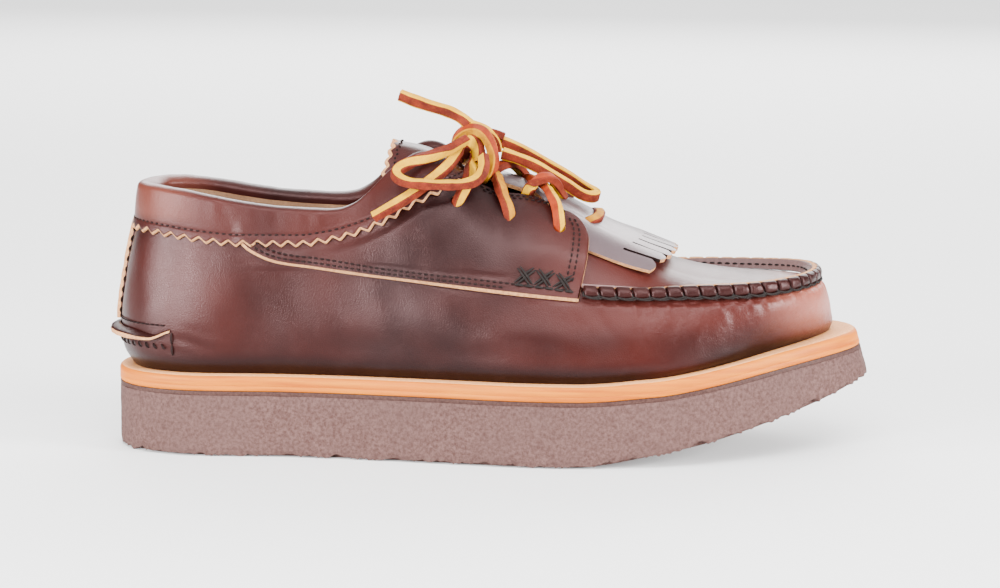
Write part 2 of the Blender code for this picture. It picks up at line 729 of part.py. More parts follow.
def make_kiltie(group, cutters):
    kiltie = crossing_sheet("kiltie", stations(6.6, 10.5), across_marks(1.12, 8), kiltie_offset,
                            group, "brown leather")
    solidify(kiltie, KILTIE_THICKNESS, outward=True)
    cut(kiltie, prism("kiltie outline", kiltie_outline(), 60.0, 130.0, cutters), "INTERSECT")
    return kiltie


RIDGE_HEIGHT = 5.0
RIDGE_THICKNESS = 3.2
RIDGE_START = 8.42          # row at the front edge of the quarters


def ridge_section(u):
    """Section of the apron seam: two raw edges sewn together and standing up."""
    above = seam_slopes(u)[1]
    steep = smooth_step(25.0, 62.0, above)
    into = inward(u)[1]
    angle = math.radians(80 - 18 * steep)
    rise = math.cos(angle) * into + math.sin(angle) * np.array([0, 0, 1.0])
    out = math.cos(angle) * np.array([0, 0, 1.0]) - math.sin(angle) * into
    length = np.linalg.norm(top_ring(u) - seam_ring(u))
    seat = raised(u, 1 + (0.8 + 2.4 * (1 - steep)) / length, GAP + 0.15, 1)
    thick, high = RIDGE_THICKNESS, RIDGE_HEIGHT
    return [seat, seat + out * thick, seat + out * thick + rise * high * 0.7,
            seat + out * thick * 0.75 + rise * high, seat + out * thick * 0.25 + rise * high,
            seat + rise * high * 0.7]


def make_apron_seam(group):
    half = [RIDGE_START] + stations(8.5, LAST_ROW)
    us = half + [TURN - u for u in reversed(half[:-1])]
    return loft("apron_seam", [ridge_section(u) for u in us], group, "brown leather")


HEEL_FLANGE_HEIGHT = 47.6   # z of the hand-sewn heel patch's edge
HEEL_FLANGE_END = 1.75      # row where it ends on both sides


def mark_at_height(u, z):
    """w of the wall's point at height z."""
    low, high = 0.0, 2.0
    for _ in range(30):
        middle = (low + high) / 2
        if form(u, middle)[2] < z:
            low = middle
        else:
            high = middle
    return (low + high) / 2


def flange_section(u):
    """Edge of the heel patch: a lip that points out and a little down."""
    w = mark_at_height(u, HEEL_FLANGE_HEIGHT)
    out = -inward(u)[1]
    reach = 4.6 - 2.2 * smooth_step(0.8, HEEL_FLANGE_END, min(u, TURN - u))
    low, high = raised(u, w - 0.03, GAP), raised(u, w + 0.05, GAP)
    down = np.array([0, 0, -1.0])
    return [low, low + out * reach * 0.7 + down * 0.3, low + out * reach + down * 0.2,
            high + out * reach + down * 1.4, high + out * reach * 0.5 + down * 0.6, high]


def make_heel_seams(group):
    half = [u for u in stations() if u < HEEL_FLANGE_END] + [HEEL_FLANGE_END]
    us = [TURN - u for u in reversed(half[1:])] + half
    flange = loft("heel_flange", [flange_section(u) for u in us], group, "brown leather")
    low = mark_at_height(0, HEEL_FLANGE_HEIGHT + 3.5)
    high = collar_edge_mark(0) - 0.03
    sections = []
    for k in range(8):
        w = low + (high - low) * k / 7
        seat = raised(0.0, w, GAP)
        out = normal(0.0, w)
        side = np.array([0, 1.7, 0])
        ridge = seat + out * 2.2
        sections.append([seat + side, seat - side, ridge - side * 0.8, ridge + side * 0.8])
    back = loft("back_seam", sections, group, "brown leather")
    return flange, back


# ---------------------------------------------------------------- the lace
LACE_WIDTH = 4.0
LACE_THICKNESS = 3.0
LACE_LIFT, BAR_LIFT = 0.8, 0.4   # of the crossings and the front bar, over their clearance


def over_plan(x, y, lift):
    """Point above the form at plan point x, y, lift over what lies there."""
    inner = y > KILTIE_MIDDLE
    u, w = 7.5, 2.3
    for _ in range(40):
        def flat(a, b):
            return form(TURN - a if inner else a, b)[:2]
        here = flat(u, w)
        step = 1e-3
        slopes = [(flat(u + step, w) - here) / step, (here - flat(u, w - step)) / step]
        move = np.linalg.solve(np.column_stack(slopes), np.array([x, y]) - here)
        u += float(np.clip(move[0], -0.5, 0.5))
        w = float(np.clip(w + np.clip(move[1], -0.3, 0.3), 1.1, 2.999))
    side = TURN - u if inner else u
    kiltie = GAP + KILTIE_THICKNESS
    below = quarter_offset(side, w) + OVERLAY if x < QUARTER_FRONT_EDGE[3].x else kiltie
    height = below + (kiltie - below) * smooth_step(2.2, 2.7, w) + GAP + lift
    return raised(side, w, height), normal(side, w)


def lace_run(name, route, group, lift=LACE_LIFT):
    """Flat lace laid over the form along plan points."""
    corners = np.array(route, float)
    count = 4 * (len(corners) - 1) + 1
    marks = np.linspace(0, len(corners) - 1, count)
    xs = np.interp(marks, range(len(corners)), corners[:, 0])
    ys = np.interp(marks, range(len(corners)), corners[:, 1])
    spots = [over_plan(x, y, lift) for x, y in zip(xs, ys)]
    sections = []
    for k, (point, out) in enumerate(spots):
        ahead = spots[min(k + 1, count - 1)][0] - spots[max(k - 1, 0)][0]
        across = np.cross(ahead, out)
        across *= LACE_WIDTH / 2 / np.linalg.norm(across)
        top = out * LACE_THICKNESS
        sections.append([point - across, point + across, point + across * 0.85 + top,
                         point - across * 0.85 + top])
    return loft(name, sections, group, "rawhide")


def make_lace_bars(group, cutters):
    """The first bar and two crossings over the kiltie, and the strand under the knot."""
    lace_run("lace_bar_front", [(42.3, -15.0), (43.2, 1.5), (42.3, 17.5)], group, BAR_LIFT)
    for number, (eyelet, far) in enumerate(((27.0, 11.5), (7.5, -2.0)), 1):
        bend = eyelet - 5.0
        cross = lace_run(f"lace_cross_{number}", [(eyelet, -24.0), (bend, -15.0), (far, 14.0)], group)
        other = lace_run(f"lace cross {number} other", [(eyelet, 26.5), (bend, 17.5), (far, -11.0)],
                         cutters)
        cut(cross, other, "UNION")
    back = [(-13.0, -24.5), (-9.0, -15.0), (-9.5, 1.5), (-9.0, 18.0), (-13.0, 26.5)]
    lace_run("lace_bar_back", back, group)


KNOT_CENTRE = (-6.0, -3.0, 126.3)
KNOT_SIZE = (16.0, 18.0, 8.8)
TUBE_DIAMETER = 3.6
# Routes of the bow, from the knot outward.
LACE_ROUTES = {
    "lace_loop_lateral": [
        (-10.0, -12.6, 126.6), (-20.0, -24.0, 122.4), (-28.0, -30.2, 120.4), (-34.0, -34.4, 118.2),
        (-36.2, -37.8, 116.0), (-34.0, -41.0, 113.8), (-28.2, -42.0, 112.4), (-20.0, -40.4, 111.8),
        (-12.0, -36.6, 111.4), (-6.2, -31.4, 112.0), (-3.2, -26.0, 114.2), (-2.4, -21.0, 117.0),
        (-3.0, -16.5, 120.4)],
    "lace_loop_medial": [
        (2.6, 6.0, 124.2), (6.4, 7.6, 122.6), (12.6, 9.2, 119.6), (21.3, 10.0, 114.4),
        (31.2, 9.6, 108.8), (38.0, 8.2, 104.6), (42.0, 4.8, 102.4), (39.4, 1.0, 102.2),
        (31.5, -1.0, 106.4), (21.8, -3.0, 112.8), (14.0, -4.0, 116.9), (8.0, -4.6, 119.2),
        (4.2, -4.8, 120.4)],
    "lace_end_lateral": [
        (-13.2, -11.2, 122.2), (-15.4, -21.0, 118.9), (-19.6, -30.0, 115.0), (-25.2, -36.0, 111.0),
        (-30.8, -39.5, 107.2), (-37.8, -41.5, 103.0), (-44.9, -42.0, 99.0)],
    "lace_end_medial": [
        (-9.4, 1.0, 131.2), (-13.4, 2.6, 134.2), (-18.4, 4.0, 136.4), (-25.9, 6.0, 138.4),
        (-32.5, 7.0, 140.5), (-38.3, 8.0, 142.6)],
}


def lace_tube(name, route, group):
    """Free stretch of the lace: a round tube along a smooth curve through its route."""
    at, length = open_spline(route)
    count = round(length / (2 * TUBE_DIAMETER)) + 1
    curve = bpy.data.curves.new(name, "CURVE")
    curve.dimensions = "3D"
    curve.bevel_depth = TUBE_DIAMETER / 2 * MM
    curve.bevel_resolution = 2
    curve.use_fill_caps = True
    spline = curve.splines.new("POLY")
    spline.points.add(count - 1)
    for point, s in zip(spline.points, np.linspace(0, length, count)):
        point.co = (*(at(s) * GRADE * MM), 1.0)
    curve.materials.append(material("rawhide", name))
    tube = bpy.data.objects.new(name, curve)
    group.objects.link(tube)
    return tube


def make_knot(group):
    """The knot's outer shape."""
    work = bmesh.new()
    size = Matrix.Diagonal([side * MM for side in KNOT_SIZE] + [1])
    place = Matrix.Translation([side * MM for side in KNOT_CENTRE])
    bmesh.ops.create_uvsphere(work, u_segments=14, v_segments=8, radius=0.5, matrix=place @ size)
    mesh = bpy.data.meshes.new("lace_knot")
    work.to_mesh(mesh)
    work.free()
    mesh.materials.append(material("rawhide", "lace_knot"))
    mesh.shade_smooth()
    knot = bpy.data.objects.new("lace_knot", mesh)
    knot.scale = GRADE
    group.objects.link(knot)


def make_bow(group):
    make_knot(group)
    for name, route in LACE_ROUTES.items():
        lace_tube(name, route, group)


def build():
    clear_scene()
    shoe = collection("derby shoe")
    cutters = collection("cutters")
    make_sole(shoe, cutters)
    upper = make_upper(shoe)
    make_tongue(shoe)
    make_collar(shoe)
    quarters = [make_quarter("quarter_lateral", False, shoe, cutters),
                make_quarter("quarter_medial", True, shoe, cutters)]
    for quarter, inner in zip(quarters, (False, True)):
        punches = eyelet_cutter(inner, cutters)
        cut(quarter, punches)
        cut(upper, punches)
    make_kiltie(shoe, cutters)
    make_apron_seam(shoe)
    make_heel_seams(shoe)
    make_lace_bars(shoe, cutters)
    make_bow(shoe)


build()
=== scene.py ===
"""Looks of the derby shoe: fine leather, seams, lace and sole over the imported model.

Lengths are in millimetres and become metres when a piece is made. +X points to the toe, +Y
to the inner side of the right foot, and z = 0 is the floor.
"""
import math
from collections import namedtuple

import bmesh
import bpy
import numpy as np
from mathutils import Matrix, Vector


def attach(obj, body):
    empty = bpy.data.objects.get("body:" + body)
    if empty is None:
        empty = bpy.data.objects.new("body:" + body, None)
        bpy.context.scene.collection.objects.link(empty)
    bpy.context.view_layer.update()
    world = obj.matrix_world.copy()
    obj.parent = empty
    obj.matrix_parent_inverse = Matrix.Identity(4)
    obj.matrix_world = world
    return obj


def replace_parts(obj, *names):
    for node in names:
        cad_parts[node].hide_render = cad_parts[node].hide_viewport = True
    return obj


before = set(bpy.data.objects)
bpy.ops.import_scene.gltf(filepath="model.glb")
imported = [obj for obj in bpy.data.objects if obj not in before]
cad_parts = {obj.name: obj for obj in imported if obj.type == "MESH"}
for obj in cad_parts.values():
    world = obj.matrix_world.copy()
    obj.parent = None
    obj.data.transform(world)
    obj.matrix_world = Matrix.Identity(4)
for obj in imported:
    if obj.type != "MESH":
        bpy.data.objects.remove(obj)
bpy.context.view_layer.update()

MM = 0.001

# ---------------------------------------------------------------- sizes of the shoe (mm)
SLIP_THICKNESS = 1.8
MIDSOLE_THICKNESS = 6.4
INSOLE_THICKNESS = 3.0
OUTSOLE_HEIGHT = 25.0
WALL = 2.0                   # leather of the upper
OVERLAY = 1.8                # leather of the quarters and the tongue
KILTIE_THICKNESS = 1.6
GAP = 0.3                    # between a piece and the next
EYELET_DIAMETER = 5.0
LACE_WIDTH = 4.4
LACE_THICKNESS = 3.3



def table(columns, *rows):
    """Rows of numbers with named columns."""
    row_type = namedtuple("Row", columns)
    return [row_type(*row) for row in rows]


# A row is one section of the shoe, from the heel to the toe. lat and med are y on the outer
# and the inner side, ledge is how far the feather line lies in from the sole's edge, and flare,
# below, above and rise are the upper's slopes (degrees) at its three lines.
SOLE_ROWS = table(
    "x lat med ledge flare",
    (-153.5,   0.0,  0.0, 6.2, 128), (-145.1, -21.5, 21.0, 5.8, 128),
    (-122.0, -33.0, 32.5, 5.5, 126), ( -92.0, -34.2, 34.3, 5.5, 124),
    ( -62.0, -36.8, 32.4, 5.5, 124), ( -38.0, -40.8, 31.6, 5.8, 124),
    ( -12.0, -46.0, 33.0, 6.0, 124), (  14.0, -50.8, 37.0, 6.0, 124),
    (  40.0, -52.0, 43.5, 6.0, 124), (  65.0, -50.6, 50.5, 6.2, 124),
    (  90.0, -44.8, 54.0, 6.6, 122), ( 113.0, -34.5, 52.6, 7.2, 118),
    ( 134.4, -20.4, 44.2, 8.5, 112), ( 148.7,  -4.9, 29.4, 10.0, 106),
    ( 154.0,  11.0, 11.0, 10.5, 104))
SEAM_ROWS = table(
    "x lat med z below above",
    (-148.9,   0.0,  0.0, 75.0, 80, 80), (-142.2, -18.6, 18.2, 75.0, 80, 80),
    (-121.0, -30.0, 29.5, 75.5, 82, 82), ( -93.0, -32.6, 32.0, 76.5, 84, 84),
    ( -66.0, -34.4, 31.2, 76.5, 84, 84), ( -43.0, -37.2, 31.2, 74.0, 80, 80),
    ( -19.0, -40.2, 32.5, 71.5, 76, 76), (   6.0, -42.2, 35.2, 68.6, 74, 74),
    (  31.0, -41.8, 38.5, 66.6, 70, 70), (  55.0, -39.6, 40.4, 65.2, 62, 62),
    (  79.0, -38.2, 41.2, 65.0, 58, 42), ( 102.0, -34.6, 39.4, 65.6, 58, 26),
    ( 120.5, -24.0, 32.6, 66.8, 60, 16), ( 131.0,  -8.5, 21.6, 67.6, 62, 12),
    ( 134.0,   8.0,  8.0, 67.6, 62, 10))
TOP_ROWS = table(
    "x lat med z rise crown_x crown_z",
    (-141.5,   0.0,  0.0, 106.0, 78, -141.5, 106.0), (-136.8, -14.6, 14.2, 105.9, 78, -136.0, 112.0),
    (-120.0, -24.2, 23.8, 104.2, 80, -118.0, 124.0), ( -95.0, -27.6, 27.0, 100.0, 82,  -90.0, 130.0),
    ( -69.0, -28.6, 27.4,  98.0, 80,  -60.0, 133.0), ( -50.0, -27.8, 26.6, 103.0, 62,  -40.0, 127.2),
    ( -28.0, -20.5, 20.5, 120.5, 34,  -26.0, 123.5), (  -6.0, -16.5, 17.5, 109.6, 36,   -5.0, 113.8),
    (  20.0, -16.0, 18.0, 101.2, 30,   21.0, 104.4), (  45.0, -16.5, 19.5,  90.0, 22,   46.0,  91.2),
    (  70.0, -17.0, 21.5,  76.6, 14,   71.0,  78.2), (  92.0, -15.5, 21.0,  71.4,  8,   93.0,  72.8),
    ( 106.0,  -9.0, 19.0,  70.2,  5,  107.0,  70.9), ( 113.5,  -1.0, 14.0,  69.9,  3,  114.0,  70.2),
    ( 116.0,   7.0,  7.0,  69.8,  3,  116.0,  69.8))
PROFILE_ROWS = table(
    "x tread thickness lean",
    (-160.0,  0.0, OUTSOLE_HEIGHT, 0.00), (20.0,  0.0, OUTSOLE_HEIGHT, 0.00),
    (  36.0,  0.0, OUTSOLE_HEIGHT, 0.00), (48.0,  1.3, 24.2, 0.02), (60.0, 3.6, 22.9, 0.05),
    (  73.0,  6.0, 21.5, 0.08), (86.0, 8.7, 20.6, 0.12), (104.0, 13.4, 19.0, 0.17),
    ( 120.0, 18.2, 17.2, 0.21), (140.0, 24.4, 14.0, 0.26), (153.0, 28.8, 11.0, 0.28))
# Lines drawn on the shoe's side, as x and z.
COLLAR_EDGE = table(
    "x z",
    (-160.0, 88.2), (-143.0, 88.6), (-131.5, 87.8), (-115.5, 86.0), (-99.4, 84.8),
    (-75.3, 84.9), (-63.3, 86.6), (-51.2, 89.9), (-39.2, 95.2), (-31.2, 100.3),
    (-23.2, 104.3), (-16.0, 107.6), (-8.0, 110.4), (0.0, 114.0))
EYELETS = table("x z", (27.5, 91.2), (7.5, 96.6), (-13.4, 103.2))

# The ring parameter u counts these rows: 0 at the heel, LAST_ROW at the toe, and on by the
# inner side to TURN, the heel again.
LAST_ROW = len(SOLE_ROWS) - 1
TURN = 2 * LAST_ROW
COLLAR_END = 6.7             # u where the collar ends at the throat
THROAT_FRONT = 8.5           # u where the lid begins
CROWN_SPREAD = 0.3           # how square the crown's curve is across the foot
SURFACE_STEP = 0.01          # for slopes of the form, in u and w
HALVINGS = 26


# ---------------------------------------------------------------- curves
def closed_spline(values):
    """Smooth closed curve through values at 0, 1, 2, ... as a function of the parameter."""
    points = np.asarray(values, float)
    count = len(points)
    system = 4 * np.eye(count) + np.roll(np.eye(count), 1, 0) + np.roll(np.eye(count), -1, 0)
    turns = np.roll(points, 1, 0) - 2 * points + np.roll(points, -1, 0)
    bend = np.linalg.solve(system, 6 * turns)

    def at(u):
        u = np.asarray(u, float)
        first = np.floor(u).astype(int)
        t = (u - first)[..., None]
        a, b, s = first % count, (first + 1) % count, 1 - t
        return (s * points[a] + t * points[b]
                + (s ** 3 - s) * bend[a] / 6 + (t ** 3 - t) * bend[b] / 6)
    return at


def monotone(rows, column):
    """Curve through a table's column that never swings past its rows, as a function of x."""
    xs = np.array([row.x for row in rows])
    ys = np.array([getattr(row, column) for row in rows])
    secant = np.diff(ys) / np.diff(xs)
    slope = np.zeros(len(xs))
    for i in range(1, len(xs) - 1):
        if secant[i - 1] * secant[i] > 0:
            slope[i] = 2 * secant[i - 1] * secant[i] / (secant[i - 1] + secant[i])
    slope[0], slope[-1] = secant[0], secant[-1]

    def at(x):
        x = np.asarray(x, float)
        i = np.clip(np.searchsorted(xs, x) - 1, 0, len(xs) - 2)
        width = xs[i + 1] - xs[i]
        t = np.clip((x - xs[i]) / width, 0, 1)
        return hermite(ys[i], ys[i + 1], width * slope[i], width * slope[i + 1], t)
    return at


def open_spline(points):
    """Smooth curve through points, as a function of the distance along their chords, with
    its whole length."""
    points = np.asarray(points, float)
    reach = arc_length(points)
    count = len(points)
    system, target = np.zeros((count, count)), np.zeros(points.shape)
    system[0, 0] = system[-1, -1] = 1.0
    for i in range(1, count - 1):
        before, after = reach[i] - reach[i - 1], reach[i + 1] - reach[i]
        system[i, i - 1:i + 2] = before, 2 * (before + after), after
        target[i] = 6 * ((points[i + 1] - points[i]) / after - (points[i] - points[i - 1]) / before)
    bend = np.linalg.solve(system, target)

    def at(s):
        s = np.asarray(s, float)
        i = np.clip(np.searchsorted(reach, s) - 1, 0, count - 2)
        width = (reach[i + 1] - reach[i])[..., None]
        b = (s - reach[i])[..., None] / width
        a = 1 - b
        return (a * points[i] + b * points[i + 1]
                + ((a ** 3 - a) * bend[i] + (b ** 3 - b) * bend[i + 1]) * width ** 2 / 6)
    return at, reach[-1]


def smooth_step(low, high, value):
    """0 up to low, 1 from high on, smooth between them."""
    t = np.clip((np.asarray(value, float) - low) / (high - low), 0.0, 1.0)
    return t * t * (3 - 2 * t)


def hermite(start, end, leave, arrive, t):
    """Smooth step from start to end that leaves and arrives with the given slopes."""
    return ((1 + 2 * t) * (1 - t) ** 2 * start + t * (1 - t) ** 2 * leave
            + t * t * (3 - 2 * t) * end + t * t * (t - 1) * arrive)


def around(rows, *columns):
    """A table's columns as one closed ring: the outer side first, back by the inner side."""
    def pick(row, side):
        return [getattr(row, side if column == "y" else column) for column in columns]
    return closed_spline([pick(row, "lat") for row in rows]
                         + [pick(row, "med") for row in rows[-2:0:-1]])


def unit(vectors):
    """The vectors at length 1."""
    return vectors / np.maximum(np.linalg.norm(vectors, axis=-1, keepdims=True), 1e-12)


def arc_length(points):
    """Distance along a line of points to each of them."""
    return np.concatenate([[0.0], np.cumsum(np.linalg.norm(np.diff(points, axis=0), axis=-1))])


# ---------------------------------------------------------------- the form of the shoe
sole_ring = around(SOLE_ROWS, "x", "y")
sole_values = around(SOLE_ROWS, "ledge", "flare")
seam_ring = around(SEAM_ROWS, "x", "y", "z")
seam_slopes = around(SEAM_ROWS, "below", "above")
top_ring = around(TOP_ROWS, "x", "y", "z")
top_values = around(TOP_ROWS, "rise", "crown_x", "crown_z")
tread_height = monotone(PROFILE_ROWS, "tread")
wedge_thickness = monotone(PROFILE_ROWS, "thickness")
edge_lean = monotone(PROFILE_ROWS, "lean")
collar_edge = monotone(COLLAR_EDGE, "z")
UP = np.array([0.0, 0.0, 1.0])


def inward(u):
    """Unit vectors in plan along the ring and into the shoe."""
    step = sole_ring(np.asarray(u) + 0.02) - sole_ring(np.asarray(u) - 0.02)
    along = unit(np.concatenate([step, np.zeros_like(step[..., :1])], -1))
    return along, np.stack([-along[..., 1], along[..., 0], along[..., 2]], -1)


def layer_point(x, y, height):
    """Point of the sole over plan point x, y, height above the tread."""
    return np.stack([x - height * edge_lean(x), y, tread_height(x) + height], -1)


def edge_point(u, inset, layers, lift):
    """Point of the sole's ring, inset from its edge. layers counts the layers below it."""
    plan = sole_ring(u) + inward(u)[1][..., :2] * np.asarray(inset)[..., None]
    heights = (0.0, wedge_thickness(plan[..., 0]), SLIP_THICKNESS, MIDSOLE_THICKNESS)
    return layer_point(plan[..., 0], plan[..., 1], sum(heights[:layers + 1]) + lift)


def form(u, w):
    """Outer surface of the upper. w runs 0..1 from the feather line to the seam ring, 1..2
    to the top ring and 2..4 over the crown to the other side's top ring."""
    u, w = np.broadcast_arrays(np.asarray(u, float), np.asarray(w, float))
    along, into = inward(u)
    ledge, flare = np.moveaxis(sole_values(u), -1, 0)
    below, above = np.moveaxis(seam_slopes(u), -1, 0)
    rise, crown_x, crown_z = np.moveaxis(top_values(u), -1, 0)
    seam, top = seam_ring(u), top_ring(u)
    w = w[..., None]

    def tangent(degrees, chord):
        angle = np.radians(degrees)[..., None]
        return (np.linalg.norm(chord, axis=-1, keepdims=True)
                * (np.cos(angle) * into + np.sin(angle) * UP)
                + np.sum(chord * along, -1, keepdims=True) * along)
    feather = edge_point(u, ledge, 3, GAP)
    chord = seam - feather
    wall = hermite(feather, seam, tangent(flare, chord), tangent(below, chord), w)
    chord = top - seam
    shoulder = hermite(seam, top, tangent(above, chord), tangent(rise, chord), w - 1)
    other = top_ring(TURN - u)
    crown = np.stack([crown_x, np.zeros_like(crown_x), crown_z], -1)
    reach = (crown - (top + other) / 2) * 4 / 3     # a cubic's handles, for it to meet the crown
    spread = (other[..., 1] - top[..., 1]) * CROWN_SPREAD
    near = top + np.stack([reach[..., 0], spread, reach[..., 2]], -1)
    far = other + np.stack([reach[..., 0], -spread, reach[..., 2]], -1)
    t = (w - 2) / 2
    s = 1 - t
    over = s ** 3 * top + 3 * s * s * t * near + 3 * s * t * t * far + t ** 3 * other
    return np.where(w <= 1, wall, np.where(w <= 2, shoulder, over))


def normal(u, w, side=0):
    """Outward normal of the form. side -1 or +1 takes it just under or over w."""
    u, w = np.broadcast_arrays(np.asarray(u, float), np.asarray(w, float))
    low = w - (0 if side > 0 else SURFACE_STEP)
    high = w + (0 if side < 0 else SURFACE_STEP)
    along = form(u + SURFACE_STEP, w) - form(u - SURFACE_STEP, w)
    return unit(np.cross(along, form(u, high) - form(u, low)))


def raised(u, w, offset, side=0):
    """Points offset mm out from the form."""
    return form(u, w) + normal(u, w, side) * np.asarray(offset, float)[..., None]


def locate(x, z, inner=False, pick=(0, 2), guess=(7.0, 1.5)):
    """Ring parameter and w of the form's points at x, z on one side of the shoe, found by
    Newton's steps from a guess. pick names the two axes that x and z stand for."""
    aim = np.stack(np.broadcast_arrays(np.asarray(x, float), np.asarray(z, float)), -1)
    u = np.full(aim.shape[:-1], guess[0], float)
    w = np.full(aim.shape[:-1], guess[1], float)

    def flat(a, b):
        return form(TURN - a if inner else a, b)[..., pick]
    step, least, most_u, most_w = 1e-3, 1e-6, 0.6, 0.3
    for _ in range(24):
        here = flat(u, w)
        du, dw = (flat(u + step, w) - here) / step, (here - flat(u, w - step)) / step
        gap = aim - here
        scale = du[..., 0] * dw[..., 1] - du[..., 1] * dw[..., 0]
        scale = np.where(np.abs(scale) < least, least, scale)
        move_u = (gap[..., 0] * dw[..., 1] - gap[..., 1] * dw[..., 0]) / scale
        move_w = (du[..., 0] * gap[..., 1] - du[..., 1] * gap[..., 0]) / scale
        u = u + np.clip(move_u, -most_u, most_u)
        w = np.clip(w + np.clip(move_w, -most_w, most_w), 0.02, 2.999)
    return (TURN - u if inner else u), w


RIPPLE_WAVES = 9


def ripple(points, seed, size):
    """Smooth noise of about -1..1 whose lumps are size mm wide."""
    draw = np.random.default_rng(seed)
    total = 0
    for _ in range(RIPPLE_WAVES):
        wave = unit(draw.normal(size=3)) * 2 * math.pi / (size * draw.uniform(0.7, 1.6))
        total = total + np.sin(points @ wave + draw.uniform(0, 2 * math.pi))
    return total / math.sqrt(RIPPLE_WAVES)


# ---------------------------------------------------------------- meshes
# Section of the lace, in halves of its width and thickness, and how far its ends bulge.
STRIP_SECTION = [(1, 0.75), (0.75, 1), (0.35, 1), (-0.35, 1), (-0.75, 1), (-1, 0.75), (-1, 0),
                 (-1, -0.75), (-0.75, -1), (-0.35, -1), (0.35, -1), (0.75, -1), (1, -0.75), (1, 0)]
STRIP_POINT = 0.4


def add_object(name, data):
    """New object in the scene."""
    item = bpy.data.objects.new(name, data)
    bpy.context.scene.collection.objects.link(item)
    return item


